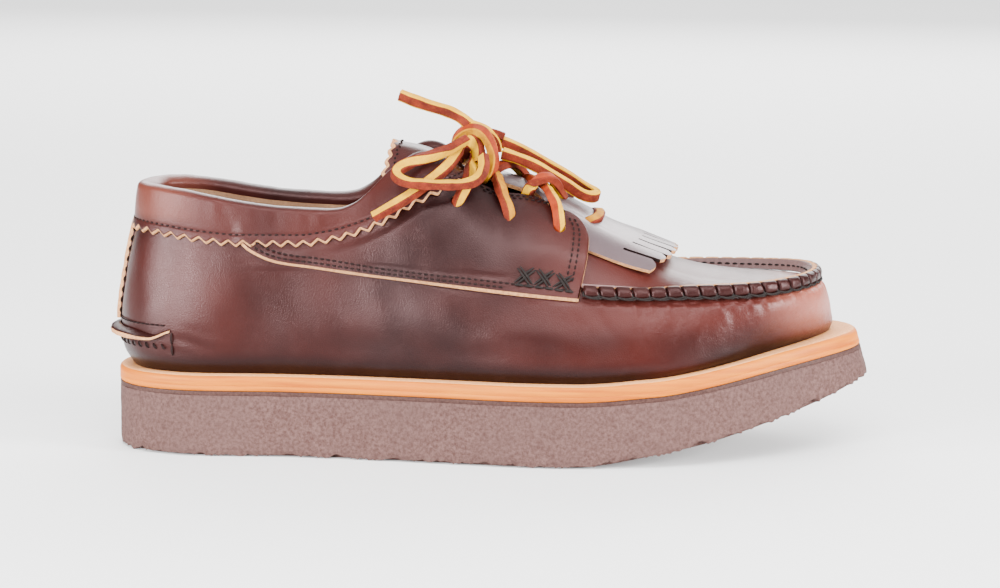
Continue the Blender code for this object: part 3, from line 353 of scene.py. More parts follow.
class Shape:
    """Points and four-sided faces of one piece, gathered part by part. A mark is the number
    of a material."""

    def __init__(self):
        self.points, self.faces, self.marks, self.count = [], [], [], 0

    def add(self, points):
        """Adds points and returns their numbers, in the same layout."""
        points = np.asarray(points, float)
        index = np.arange(self.count, self.count + points[..., 0].size).reshape(points.shape[:-1])
        self.points.append(points.reshape(-1, 3))
        self.count += index.size
        return index

    def strip(self, a, b, mark=0, closed=False):
        """Faces between two rows of equal length."""
        if closed:
            a, b = np.append(a, a[0]), np.append(b, b[0])
        self.faces.append(np.column_stack([a[:-1], a[1:], b[1:], b[:-1]]))
        self.marks.append(np.full(len(a) - 1, mark))

    def grid(self, rows, mark=0, closed=False):
        """Faces over a grid of points. closed joins each row's ends. mark is one for all, or
        one for each row of faces."""
        index = self.add(rows)
        for k, row_mark in enumerate(np.broadcast_to(mark, len(index) - 1)):
            self.strip(index[k], index[k + 1], row_mark, closed)
        return index

    def slab(self, outer, inner, marks, bulge):
        """Closed sheet between two grids, with a rounded edge. marks: outer, inner, edge."""
        high, low = self.grid(outer, marks[0]), self.grid(inner, marks[1])

        def border(g, out=0):
            """Round the grid, out lines in from its own border."""
            return np.concatenate([g[out, :-1], g[:-1, -1 - out], g[-1 - out, :0:-1], g[:0:-1, out]])
        self.rim(border(outer), border(inner), border(outer, 1), border(high), border(low), marks[2], bulge)

    def loft(self, rows, marks, end_mark=0):
        """Closed solid along a line: rows run along it, one beside the other round its section,
        and marks tell the material from each row to the next."""
        index = self.add(np.stack(rows))
        for k, mark in enumerate(marks):
            self.strip(index[k], index[(k + 1) % len(index)], mark)
        for column in (0, -1):
            self.cap(index[:, column], np.mean([row[column] for row in rows], axis=0), end_mark)

    def cutout(self, outer, inner, mask, marks):
        """Closed sheet of the cells of a grid that mask keeps. marks: outer, inner, edge at
        the grid's border and edge at a cut inside it."""
        high, low = self.add(outer), self.add(inner)
        kept = np.pad(mask, 1)
        last_row, last_column = mask.shape[0] - 1, mask.shape[1] - 1
        for j, i in np.argwhere(mask):
            corners = [(j, i), (j, i + 1), (j + 1, i + 1), (j + 1, i)]
            self.faces.append(np.array([[high[c] for c in corners], [low[c] for c in corners[::-1]]]))
            self.marks.append(np.array(marks[:2]))
            beside = ((kept[j, i + 1], j == 0), (kept[j + 1, i + 2], i == last_column),
                      (kept[j + 2, i + 1], j == last_row), (kept[j + 1, i], i == 0))
            for a, b, (covered, border) in zip(corners, corners[1:] + corners[:1], beside):
                if not covered:
                    self.faces.append(np.array([[high[b], high[a], low[a], low[b]]]))
                    self.marks.append(np.array([marks[2] if border else marks[3]]))

    def rim(self, outer, inner, neighbour, high, low, mark, bulge):
        """Edge between two closed border rows, bulging away from the sheet."""
        through = inner - outer
        away = outer - neighbour
        away = unit(away - unit(through) * np.sum(away * unit(through), -1, keepdims=True))
        rows = [high]
        for part, push in ((0.15, 0.6), (0.5, 1.0), (0.85, 0.6)):
            rows.append(self.add(outer + through * part + away * bulge * push))
        rows.append(low)
        for a, b in zip(rows[:-1], rows[1:]):
            self.strip(a, b, mark, True)

    def tube(self, path, side, width, height, marks):
        """Flat strip with rounded corners along a path. side points across it. marks: the face
        that looks out, the back and the sides."""
        ahead = unit(np.gradient(path, axis=0))
        side = unit(side - ahead * np.sum(side * ahead, -1, keepdims=True))
        out = np.cross(side, ahead)
        index = self.add(np.stack([path + side * width[:, None] / 2 * a + out * height[:, None] / 2 * b
                                   for a, b in STRIP_SECTION]))
        ahead_of = np.roll(STRIP_SECTION, -1, 0)
        for k, level in enumerate((np.array(STRIP_SECTION) + ahead_of)[:, 1] / 2):
            face = 0 if level > 0.9 else 1 if level < -0.9 else 2
            self.strip(index[k], index[(k + 1) % len(index)], marks[face])
        for end, sign in ((0, -1), (-1, 1)):
            self.cap(index[:, end], path[end] + ahead[end] * sign * STRIP_POINT, marks[2])

    def cap(self, ring, centre, mark):
        """Closes an end with triangles to its centre."""
        middle = self.add([centre])[0]
        self.faces.append(np.column_stack([np.full(len(ring), middle), ring, np.roll(ring, -1)]))
        self.marks.append(np.full(len(ring), mark))

    def piece(self, name, slot, *materials, sharp=40.0, clean=True):
        """The finished object, riding on the shoe. Edges over sharp degrees stay sharp."""
        mesh = bpy.data.meshes.new(name)
        faces = [face for block in self.faces for face in block.tolist()]
        mesh.from_pydata((np.concatenate(self.points) * MM).tolist(), [], faces)
        for made in materials:
            mesh.materials.append(made)
        mesh.polygons.foreach_set("material_index", np.concatenate(self.marks).astype(np.int32))
        if clean:
            work = bmesh.new()
            work.from_mesh(mesh)
            bmesh.ops.remove_doubles(work, verts=work.verts, dist=1e-6)
            bmesh.ops.dissolve_degenerate(work, edges=work.edges, dist=1e-7)
            bmesh.ops.recalc_face_normals(work, faces=work.faces)
            work.to_mesh(mesh)
            work.free()
        mesh.shade_smooth()
        mesh.set_sharp_from_angle(angle=math.radians(sharp))
        item = add_object(name, mesh)
        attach(item, "root")
        return item


def triangle_wave(s, pitch):
    """0 at whole pitches, 1 halfway between them."""
    return 1 - np.abs((np.asarray(s) / pitch) % 1.0 * 2 - 1)


# ---------------------------------------------------------------- materials
class Look:
    """One material's nodes, built step by step."""

    def __init__(self, name, **values):
        self.material = bpy.data.materials.new(name)
        self.material.use_nodes = True
        self.nodes, self.links = self.material.node_tree.nodes, self.material.node_tree.links
        self.shader = self.nodes["Principled BSDF"]
        for key, value in values.items():
            self.shader.inputs[key.replace("_", " ")].default_value = value
        self.place = self.nodes.new("ShaderNodeTexCoord").outputs["Object"]

    def node(self, kind, **inputs):
        """A node with its inputs, each a socket or a value."""
        made = self.nodes.new(f"ShaderNode{kind}")
        for key, value in inputs.items():
            self.put(made.inputs[key.replace("_", " ")], value)
        return made

    def put(self, socket, value):
        if isinstance(value, bpy.types.NodeSocket):
            self.links.new(value, socket)
        else:
            socket.default_value = value

    def stretched(self, x, y, z):
        """The place, stretched so that marks run along an axis."""
        return self.node("Mapping", Vector=self.place, Scale=(x, y, z)).outputs["Vector"]

    def along(self, axis, start, full):
        """0 to 1 between two places (mm) on an axis."""
        place = self.node("SeparateXYZ", Vector=self.place).outputs[axis]
        made = self.node("MapRange", Value=place, From_Min=start * MM, From_Max=full * MM)
        made.interpolation_type = "SMOOTHSTEP"
        return made.outputs["Result"]

    def noise(self, size, detail, rough=0.55, place=None):
        """Noise whose lumps are size mm wide."""
        made = self.node("TexNoise", Vector=place or self.place, Scale=1000.0 / size, Detail=detail,
                         Roughness=rough)
        return made.outputs["Fac"]

    def cells(self, size, feature="DISTANCE_TO_EDGE"):
        """Cells about size mm wide, as the distance to their edges or middles."""
        made = self.node("TexVoronoi", Vector=self.place, Scale=1000.0 / size)
        made.feature = feature
        return made.outputs["Distance"]

    def ramp(self, value, *stops):
        """Grey levels at places 0..1 of a value, each (place, level)."""
        made = self.node("ValToRGB", Fac=value)
        elements = made.color_ramp.elements
        for element, (place, level) in zip(elements, stops):
            element.position = place
            element.color = (level, level, level, 1.0)
        return made.outputs["Color"]

    def mix(self, factor, a, b):
        """Colour a at factor 0 and b at 1, each a socket or a colour."""
        made = self.nodes.new("ShaderNodeMix")
        made.data_type = "RGBA"
        for socket, value in ((made.inputs[0], factor), (made.inputs[6], a), (made.inputs[7], b)):
            self.put(socket, (*value, 1.0) if isinstance(value, tuple) else value)
        return made.outputs[2]

    def fade(self, value, low, high, a, b, most=1.0):
        """Colour a where value is under low, and most of colour b where it is over high."""
        return self.mix(self.ramp(value, (low, 0.0), (high, most)), a, b)

    def product(self, a, b):
        """One mask inside another."""
        made = self.nodes.new("ShaderNodeMath")
        made.operation = "MULTIPLY"
        self.put(made.inputs[0], a)
        self.put(made.inputs[1], b)
        return made.outputs[0]

    def colour(self, value):
        """Sets the base colour."""
        self.put(self.shader.inputs["Base Color"], value)
        return self

    def roughness(self, value, low, high):
        """Spreads the roughness from low to high by a value."""
        spread = self.node("MapRange", Value=value, To_Min=low, To_Max=high).outputs["Result"]
        self.put(self.shader.inputs["Roughness"], spread)
        return self

    def bump(self, *layers):
        """Layers of height, each (value, depth in mm, strength)."""
        below = None
        for value, depth, strength in layers:
            made = self.node("Bump", Height=value, Distance=depth * MM, Strength=strength)
            if below:
                self.links.new(below, made.inputs["Normal"])
            below = made.outputs["Normal"]
        self.links.new(below, self.shader.inputs["Normal"])
        return self.material


BLOOM = (0.33, 0.20, 0.195)
PORE = (0.02, 0.006, 0.005)
WRINKLED = (("X", 50, 66), ("Z", 44, 52), ("Z", 76, 68))    # the vamp beside the apron seam


def waxed_leather(name, dark, warm, bloom, gloss, rough, stretched=()):
    """Oiled pull-up leather: deep brown with burgundy clouds, a faint wax bloom and fine pores,
    with colours laid over given places: paler where it is stretched, and also painted shade and
    painted highlights. stretched lists these colours with the places where they show, each place
    an axis with the heights or lengths (mm) where the colour begins and is full."""
    look = Look(name, IOR=1.5, Specular_IOR_Level=gloss, Specular_Tint=(1.0, 0.68, 0.68, 1.0))
    base = look.fade(look.noise(70, 3, 0.5), 0.36, 0.66, dark, warm)
    # Each colour over its places: paler stretched leather, painted shade or painted highlight.
    for pale, *places in stretched:
        here = look.along(*places[0])
        for place in places[1:]:
            here = look.product(here, look.along(*place))
        base = look.mix(here, base, pale)
    base = look.fade(look.noise(9, 5, 0.62), 0.52, 0.78, base, BLOOM, bloom)
    pores = look.cells(0.9)
    base = look.mix(look.ramp(pores, (0.0, 0.16), (0.12, 0.0)), base, PORE)
    wrinkles = look.noise(4.2, 4, 0.6)
    for place in WRINKLED:
        wrinkles = look.product(wrinkles, look.along(*place))
    look.colour(base).roughness(look.noise(14, 4, 0.6), *rough)
    return look.bump((wrinkles, 0.7, 0.6), (look.ramp(pores, (0.0, 0.0), (0.16, 1.0)), 0.04, 0.6),
                     (look.noise(1.7, 4, 0.6), 0.08, 0.55), (look.noise(18, 2, 0.5), 0.35, 0.25))


def raw_edge(name, light=(0.46, 0.235, 0.100), deep=(0.24, 0.100, 0.042)):
    """Cut edge of vegetable-tanned leather: tan fibre in fine layers."""
    look = Look(name, IOR=1.4, Specular_IOR_Level=0.25)
    fibre = look.noise(1.1, 5, 0.7)
    look.colour(look.fade(fibre, 0.34, 0.68, deep, light))
    look.roughness(look.noise(3, 3), 0.70, 0.88)
    return look.bump((fibre, 0.16, 0.7))


def flesh_side(name):
    """Rough inside of the leather."""
    look = Look(name, IOR=1.4, Specular_IOR_Level=0.2, Sheen_Weight=0.25, Sheen_Roughness=0.6)
    fibre = look.noise(0.8, 6, 0.72)
    base = look.fade(look.noise(16, 3), 0.35, 0.7, (0.170, 0.078, 0.034), (0.280, 0.145, 0.068))
    look.colour(look.mix(look.ramp(fibre, (0.35, 0.55), (0.6, 0.0)), base, (0.090, 0.040, 0.018)))
    look.roughness(fibre, 0.78, 0.95)
    return look.bump((fibre, 0.35, 0.8))


def midsole_leather(name):
    """Burnished edge of the leather midsole: orange tan with faint layers along it."""
    look = Look(name, IOR=1.45, Specular_IOR_Level=0.12)
    layers = look.noise(1.6, 3, 0.5, look.stretched(0.05, 0.05, 1.0))
    base = look.fade(layers, 0.30, 0.70, (0.30, 0.066, 0.001), (0.43, 0.124, 0.002))
    look.colour(look.fade(look.noise(22, 4, 0.6), 0.42, 0.75, base, (0.42, 0.098, 0.002), 0.45))
    look.roughness(look.noise(5, 4), 0.42, 0.60)
    return look.bump((layers, 0.10, 0.4), (look.noise(0.7, 4, 0.6), 0.05, 0.4))


def crepe(name):
    """Closed-cell rubber of the wedge: mauve grey, pebbled and matt."""
    look = Look(name, IOR=1.45, Specular_IOR_Level=0.12)
    grains = look.noise(1.3, 5, 0.65)
    base = look.fade(grains, 0.35, 0.65, (0.044, 0.021, 0.018), (0.090, 0.050, 0.044))
    base = look.fade(look.noise(26, 3), 0.4, 0.7, base, (0.066, 0.037, 0.033), 0.35)
    specks = look.ramp(look.cells(2.6, "F1"), (0.03, 1.0), (0.10, 0.0))
    patches = look.ramp(look.noise(6, 2), (0.55, 0.0), (0.62, 0.8))
    base = look.mix(look.product(specks, patches), base, (0.030, 0.016, 0.015))
    look.colour(base).roughness(grains, 0.78, 0.92)
    return look.bump((grains, 0.28, 0.7), (look.noise(4.5, 3), 0.35, 0.4))


def dark_rubber(name):
    """Thin smooth layer between wedge and midsole."""
    look = Look(name, IOR=1.5, Specular_IOR_Level=0.1)
    grain = look.noise(1.0, 4, 0.6)
    look.colour(look.fade(grain, 0.35, 0.7, (0.026, 0.011, 0.009), (0.055, 0.026, 0.021)))
    look.roughness(grain, 0.50, 0.70)
    return look.bump((grain, 0.08, 0.4))


def rawhide(name, light, deep, fleck, fleck_amount, depth):
    """One face of the lace."""
    look = Look(name, IOR=1.45, Specular_IOR_Level=0.08)
    fibre = look.noise(0.7, 6, 0.7)
    base = look.fade(look.noise(5, 4, 0.6), 0.35, 0.68, deep, light)
    look.colour(look.fade(fibre, 0.52, 0.66, base, fleck, fleck_amount))
    look.roughness(fibre, 0.58, 0.85)
    return look.bump((fibre, depth, 0.7), (look.noise(2.4, 3), depth * 1.5, 0.4))


def thread(name, light, deep):
    """Twisted sewing thread."""
    look = Look(name, IOR=1.4, Specular_IOR_Level=0.15)
    twist = look.noise(0.5, 3, 0.6)
    look.colour(look.fade(twist, 0.35, 0.65, deep, light))
    look.roughness(twist, 0.62, 0.85)
    return look.bump((twist, 0.08, 0.6))


# Leathers: dark and warm colour, bloom, gloss and roughness. The upper's colour has painted shade
# low down along the welt and pales over the vamp; over the toe it pales, partly as stretched
# leather and partly as a painted highlight. The collar's paler back of the roll is partly a
# painted highlight.
# Painted shade: the dark the upper takes low down along the welt, where it meets the midsole.
WELT_PAINTED_SHADE = (0.0030, 0.0008, 0.0007)
LEATHER = waxed_leather("waxed leather", (0.0050, 0.0010, 0.0010), (0.0225, 0.0031, 0.0020), 0.010, 0.21,
                        (0.27, 0.40), [(WELT_PAINTED_SHADE, ("Z", 44, 36), ("X", 80, 55)),
                                       (WELT_PAINTED_SHADE, ("Z", 52, 44), ("X", 70, 100)),
                                       ((0.034, 0.0066, 0.0050), ("X", -10, 70), ("Z", 50, 60)),
                                       # Over the toe: paler stretched leather, partly a painted highlight.
                                       ((0.22, 0.066, 0.044), ("X", 104, 140), ("Z", 44, 60))])
ROLL_LEATHER = waxed_leather("collar leather", (0.0100, 0.0021, 0.0019), (0.031, 0.0050, 0.0034), 0.010,
                             # The paler back of the roll is partly its own colour and partly a painted
                             # highlight.
                             0.20, (0.30, 0.42), [((0.070, 0.018, 0.012), ("X", -112, -132), ("Z", 92, 98))])
# The kiltie's pale lilac grey paints its sheen into the colour of the same dark leather.
KILTIE_PAINTED_SHEEN = waxed_leather("kiltie leather with painted sheen", (0.040, 0.030, 0.033), (0.068, 0.049, 0.053), 0.030, 0.40,
                               (0.25, 0.36))
# Pale pinkish colour that paints the sheen the seam's inner face catches.
SEAM_FACE_PAINTED_SHEEN = waxed_leather("seam face with painted sheen", (0.060, 0.034, 0.032), (0.110, 0.062, 0.058), 0.030, 0.40,
                               (0.25, 0.36))
SEAM_LEATHER = waxed_leather("seam leather", (0.0068, 0.0017, 0.0016), (0.019, 0.0038, 0.0030), 0.010, 0.17,
                             (0.27, 0.40))
EDGE = raw_edge("raw edge")
FLESH = flesh_side("flesh side")
MIDSOLE = midsole_leather("midsole leather")
MIDSOLE_TOP = raw_edge("midsole top", (0.62, 0.30, 0.12), (0.46, 0.19, 0.07))
CREPE = crepe("crepe rubber")
DARK = dark_rubber("dark rubber")
LACE_LOOKS = (   # pale flesh side, red grain side, dark cut side and yellow cut side
    rawhide("lace flesh", (0.47, 0.255, 0.004), (0.38, 0.18, 0.001), (0.20, 0.056, 0.001), 0.3, 0.06),
    rawhide("lace grain", (0.20, 0.026, 0.006), (0.115, 0.012, 0.003), (0.05, 0.007, 0.003), 0.2, 0.03),
    rawhide("lace side", (0.12, 0.015, 0.006), (0.055, 0.007, 0.004), (0.28, 0.085, 0.018), 0.2, 0.1),
    rawhide("lace yellow", (0.33, 0.15, 0.003), (0.21, 0.075, 0.002), (0.10, 0.022, 0.002), 0.3, 0.08))
THREAD = thread("brown thread", (0.010, 0.0035, 0.0030), (0.004, 0.0018, 0.0016))
WAXED_THREAD = thread("waxed black thread", (0.013, 0.0095, 0.0085), (0.004, 0.003, 0.003))


# ---------------------------------------------------------------- camera, light and floor
def aim(item, target):
    """Turns a camera or light towards a place."""
    direction = Vector(target) - item.location
    item.rotation_euler = direction.to_track_quat("-Z", "Y").to_euler()


def make_camera():
    """Long lens, a little above the shoe and a little to the toe's side of square."""
    distance, azimuth, elevation = 1.35, math.radians(3.0), math.radians(9.0)
    target = Vector((0.003, 0.0, 0.062))
    data = bpy.data.cameras.new("camera")
    data.lens, data.sensor_width = 118.9, 36.0
    camera = add_object("camera", data)
    camera.location = target + distance * Vector((math.sin(azimuth) * math.cos(elevation),
                                                  -math.cos(azimuth) * math.cos(elevation),
                                                  math.sin(elevation)))
    aim(camera, target)
    bpy.context.scene.camera = camera


# Soft boxes: name, place, where they look (m), width and height (m), power (W).
LIGHTS = (
    ("overhead", (0.0, -0.1, 1.3), (0, 0, 0.05), (1.8, 1.5), 22),
    ("backdrop", (0.0, 2.4, 1.8), (0, 2.2, 0), (3.5, 2.0), 150),
    ("back", (0.3, 1.9, 0.95), (0, 0, 0.05), (2.4, 1.0), 70),
    ("front top", (0.1, -0.9, 1.15), (0, 0, 0.06), (1.3, 0.4), 40),
    ("front", (0.0, -1.4, 0.75), (0, 0, 0.06), (1.0, 0.3), 11),
    ("heel side", (-0.98, -1.25, 0.35), (-0.1, 0, 0.06), (0.2, 0.6), 54),
    ("heel", (-1.4, -0.75, 0.3), (-0.1, 0, 0.06), (0.35, 0.7), 62),
    ("toe", (1.4, -0.6, 0.35), (0.1, 0, 0.05), (0.5, 0.8), 110))
WHITE = (1.0, 1.0, 1.0, 1.0)
FLOOR_HALF = 6.0


def make_studio():
    """Soft boxes, a dim white surround and a pale matt floor."""
    for name, place, target, size, power in LIGHTS:
        data = bpy.data.lights.new(name, "AREA")
        data.shape, data.size, data.size_y = "RECTANGLE", size[0], size[1]
        data.energy = power
        light = add_object(name, data)
        light.location = place
        aim(light, target)
    world = bpy.data.worlds.new("studio")
    bpy.context.scene.world = world
    world.use_nodes = True
    background = world.node_tree.nodes["Background"]
    background.inputs["Color"].default_value = WHITE
    background.inputs["Strength"].default_value = 0.10
    mesh = bpy.data.meshes.new("floor")
    corners = ((-1, -1), (1, -1), (1, 1), (-1, 1))
    mesh.from_pydata([(x * FLOOR_HALF, y * FLOOR_HALF, 0) for x, y in corners], [], [(0, 1, 2, 3)])
    pale = Look("floor", Roughness=0.9, Base_Color=(0.66, 0.66, 0.66, 1.0), Emission_Strength=0.2,
                Emission_Color=WHITE)
    mesh.materials.append(pale.material)
    floor = add_object("floor", mesh)


make_camera()
make_studio()


# ---------------------------------------------------------------- the lace
# A lace: its route, where its pale face points along it, and the materials of its pale face,
# its back and its sides.
Lace = namedtuple("Lace", "name route pale marks")
BOW = (   # from the knot outward
    Lace("lace_loop_lateral",
         [(-10.0, -12.6, 126.6), (-20.0, -24.0, 122.4), (-28.0, -30.2, 120.4), (-34.0, -34.4, 118.2),
          (-36.2, -37.8, 116.0), (-34.0, -41.0, 113.8), (-28.2, -42.0, 112.4), (-20.0, -40.4, 111.8),
          (-12.0, -36.6, 111.4), (-6.2, -31.4, 112.0), (-3.2, -26.0, 114.2), (-2.4, -21.0, 117.0),
          (-3.0, -16.5, 120.4)],
         [(0, -0.8, -0.6), (0, -0.8, -0.6), (0.3, -0.9, -0.2), (0.2, -0.5, 0.85), (0, -0.3, 0.95),
          (0, -0.3, 0.95), (0.0, -0.4, 0.9), (-0.5, -0.8, 0.3), (-0.5, -0.85, 0.1)], (0, 1, 2)),
    Lace("lace_loop_medial",
         [(2.6, 6.0, 124.2), (6.4, 7.6, 122.6), (12.6, 9.2, 119.6), (21.3, 10.0, 114.4),
          (31.2, 9.6, 108.8), (38.0, 8.2, 104.6), (42.0, 4.8, 102.4), (39.4, 1.0, 102.2),
          (31.5, -1.0, 106.4), (21.8, -3.0, 112.8), (14.0, -4.0, 116.9), (8.0, -4.6, 119.2),
          (4.2, -4.8, 120.4)],
         [(0.1, -1, -0.2), (0.1, -1, -0.3), (0.2, -0.9, -0.3), (0.2, -1, -0.3), (0.1, -1, -0.3)],
         (2, 1, 0)),
    Lace("lace_end_lateral",
         [(-13.2, -11.2, 122.2), (-15.4, -21.0, 118.9), (-19.6, -30.0, 115.0), (-25.2, -36.0, 111.0),
          (-30.8, -39.5, 107.2), (-37.8, -41.5, 103.0), (-44.9, -42.0, 99.0)],
         [(0.2, -0.3, 0.95), (0.3, -0.3, 0.95), (0.4, -0.35, 0.9)], (0, 1, 2)),
    Lace("lace_end_medial",
         [(-9.4, 1.0, 131.2), (-13.4, 2.6, 134.2), (-18.4, 4.0, 136.4), (-25.9, 6.0, 138.4),
          (-32.5, 7.0, 140.5), (-38.3, 8.0, 142.6)],
         [(0.1, -1, -0.35), (0.1, -1, -0.35), (0.1, -1, -0.35)], (2, 1, 0)))
LACE_SPACING = 0.7


def lace_strip(shape, route, pale, marks, seed, width=LACE_WIDTH):
    """Flat lace along a route, a little uneven as cut hide is. Returns its middle line."""
    at, length = open_spline(route)
    s = np.linspace(0, length, max(int(length / LACE_SPACING), 8))
    path = at(s)
    pale = np.asarray(pale, float)
    t = s / length * (len(pale) - 1)
    facing = unit(np.stack([np.interp(t, range(len(pale)), pale[:, k]) for k in range(3)], -1))
    side = np.cross(unit(np.gradient(path, axis=0)), facing)
    wide = width * (1 + 0.05 * ripple(path, seed + 1, 9))
    high = LACE_THICKNESS * (1 + 0.07 * ripple(path, seed + 2, 7))
    shape.tube(path, side, wide, high, marks)
    return path


def make_bow():
    """The free lace: each loop and end is a cord of its own."""
    for number, lace in enumerate(BOW):
        shape = Shape()
        path = lace_strip(shape, lace.route, lace.pale, lace.marks, 10 * number)
        item = shape.piece(f"{lace.name}_strip", "rawhide", *LACE_LOOKS)
        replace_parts(item, lace.name)


make_bow()


# ---------------------------------------------------------------- rows of points on the form
def spaced(curve, start, end, spacing):
    """Parameters of points about spacing mm apart on a curve."""
    u = np.linspace(start, end, 2001)
    reach = arc_length(curve(u))
    return np.interp(np.linspace(0, reach[-1], int(round(reach[-1] / spacing)) + 1), reach, u)


def mirrored(half):
    """A half ring's parameters, carried on around the inner side."""
    return np.concatenate([half, TURN - half[-2:0:-1]])


def across_ring(row, columns):
    """Grid that closes a ring, with lines across the shoe from the outer to the inner side."""
    half = len(row) // 2
    left, right = row[:half + 1], np.concatenate([row[:1], row[:half - 1:-1]])
    return left + (right - left) * np.linspace(0, 1, columns)[:, None, None]


def around_heel(curve, end, spacing):
    """Ring parameters from the inner side at end, round the heel, to the outer side at end."""
    half = spaced(curve, 0, end, spacing)
    return np.concatenate([TURN - half[:0:-1], half])


def row_of(u):
    """Ring parameter of the same section on the outer side."""
    return np.minimum(u, TURN - u)


def mark_where(u, low, level):
    """w from low to 2 where the section at u rises over level, a height for each x."""
    low, high = np.full(np.shape(u), float(low)), np.full(np.shape(u), 2.0)
    for _ in range(HALVINGS):
        middle = (low + high) / 2
        point = form(u, middle)
        under = point[..., 2] < level(point[..., 0])
        low, high = np.where(under, middle, low), np.where(under, high, middle)
    return (low + high) / 2


def edge_mark(u, lift=0.0):
    """w of the line that runs lift mm above the collar's lower edge."""
    return mark_where(u, 1, lambda x: collar_edge(x) + lift)


def mark_at_height(u, z):
    """w of the wall's point at height z."""
    return mark_where(u, 0, lambda x: z)


# ---------------------------------------------------------------- the sole
GROOVE_PITCH, GROOVE_WIDTH, GROOVE_DEPTH = 10.0, 2.8, 1.2
GROOVE_START, GROOVE_SIDE = 5.0, 0.4     # x of one groove, and half the run of its slopes
WEDGE_LINES = 15                         # lines of points up the wedge's edge
TREAD_LIFT = 0.15                        # of the skin over the tread of the solid
TREAD_INSET, ROOF_INSET = 3.7, 3.4       # where tread and rim meet, inside the edge


def make_outsole():
    """Crepe wedge: cut edge with a ragged lower rim, and shallow grooves across the tread."""
    ring = mirrored(spaced(sole_ring, 0, LAST_ROW, 0.9))
    plan = sole_ring(ring)
    flat = np.column_stack([plan, np.zeros(len(plan))])
    bites = 1.2 * np.clip(ripple(flat, 2, 8) - 0.3, 0, 1)
    ragged = np.clip(0.85 + 0.55 * ripple(flat, 1, 2.6) + bites, 0, 2.2)
    high = wedge_thickness(plan[:, 0])
    shape, rows = Shape(), []
    for part in np.linspace(0, 1, WEDGE_LINES) ** 1.2:
        lift = ragged * (1 - part) ** 4 + high * part
        place = np.column_stack([plan, lift])
        swell = 0.16 * ripple(place, 3, 16) + 0.07 * ripple(place, 4, 3)
        inset = 0.1 - swell + 0.5 * max(0.0, 1 - part * 14)
        rows.append(edge_point(ring, inset, 0, lift))
    tread = edge_point(ring, TREAD_INSET, 0, TREAD_LIFT)
    roof = edge_point(ring, ROOF_INSET, 0, ragged + 0.05)
    shape.grid(np.stack([tread, roof] + rows), closed=True)
    below = across_ring(tread, 26)
    half = GROOVE_PITCH / 2
    from_groove = np.abs((below[..., 0] - GROOVE_START + half) % GROOVE_PITCH - half)
    side = GROOVE_WIDTH / 2
    depth = GROOVE_DEPTH * (1 - smooth_step(side - GROOVE_SIDE, side + GROOVE_SIDE, from_groove))
    depth[[0, -1]] = 0
    depth[:, [0, -1]] = 0
    grooved = tread_height(below[..., 0]) + TREAD_LIFT + depth
    below[..., 2] = np.where(depth > 0, grooved, below[..., 2])
    shape.grid(below)
    shape.grid(across_ring(rows[-1], 8))
    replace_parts(shape.piece("outsole_fine", "crepe rubber", CREPE, sharp=60), "outsole")


def ring_layer(name, slot, node, layers, profile, looks, marks):
    """Sole layer over the layers below it: an edge profile of (inset, lift) and a flat top."""
    ring = mirrored(spaced(sole_ring, 0, LAST_ROW, 1.6))
    rows = [edge_point(ring, inset, layers, lift) for inset, lift in profile]
    shape = Shape()
    for k, mark in enumerate(marks):
        shape.grid(np.stack(rows[k:k + 2]), mark, closed=True)
    for row, mark in ((rows[0], 0), (rows[-1], marks[-1])):
        shape.grid(across_ring(row, 12), mark)
    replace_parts(shape.piece(name, slot, *looks, sharp=50), node)


def make_layers():
    """Dark slip sole, and the midsole with a groove along its edge and a lighter top."""
    ring_layer("slip_fine", "dark rubber", "slip_sole", 1,
               [(1.0, 0.02), (0.25, 0.05), (0.1, 0.9), (0.25, 1.72), (1.0, 1.78)], (DARK,), (0,) * 4)
    ring_layer("midsole_fine", "tan leather", "midsole", 2,
               [(1.2, 0.02), (0.35, 0.1), (0.0, 0.6), (0.0, 1.9), (0.12, 2.15), (0.0, 2.4), (0.0, 4.7),
                (0.3, 5.6), (0.9, 6.15), (1.9, 6.38), (4.0, 6.4)],
               (MIDSOLE, MIDSOLE_TOP), (0,) * 8 + (1, 1))


def make_insole():
    """Leather sock: slightly dished, with its edge against the wall."""
    ring = mirrored(spaced(sole_ring, 0, LAST_ROW, 2.5))
    inset = sole_values(ring)[:, 0] + WALL + 0.8
    low, high, top = (edge_point(ring, inset + round_off, 3, GAP + height) for round_off, height in
                      ((0.0, 0.0), (0.0, INSOLE_THICKNESS - 0.4), (0.5, INSOLE_THICKNESS)))
    shape = Shape()
    shape.grid(np.stack([low, high, top]), closed=True)
    shape.grid(across_ring(low, 8))
    t = np.linspace(0, 1, 30)[:, None]
    surface = across_ring(top, len(t))
    surface[..., 2] -= (0.7 + 0.25 * ripple(surface, 9, 45)) * 4 * t * (1 - t)
    shape.grid(surface)
    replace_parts(shape.piece("insole_fine", "insole leather", FLESH, sharp=50), "insole")


# ---------------------------------------------------------------- the upper
SEAM_PITCH = 6.65            # one fold of the apron seam
SEAM_START = 8.30            # u where the seam begins beside the throat
QUARTER_LOWER_EDGE = table(
    "x z", (-101.5, 88.0), (-99.0, 86.0), (-97.0, 84.2), (-94.0, 82.4), (-88.2, 79.9), (-74.3, 77.6),
    (-56.4, 75.4), (-34.5, 73.1), (-14.6, 70.9), (13.0, 67.9), (36.0, 65.6))
QUARTER_FRONT_EDGE = table(
    "x z", (36.0, 65.6), (36.8, 69.6), (38.3, 77.0), (39.0, 82.5), (39.1, 86.0), (38.6, 88.8),
    (37.2, 91.0), (35.7, 92.6), (33.8, 94.1), (31.7, 95.3))
quarter_line = monotone(QUARTER_LOWER_EDGE, "z")
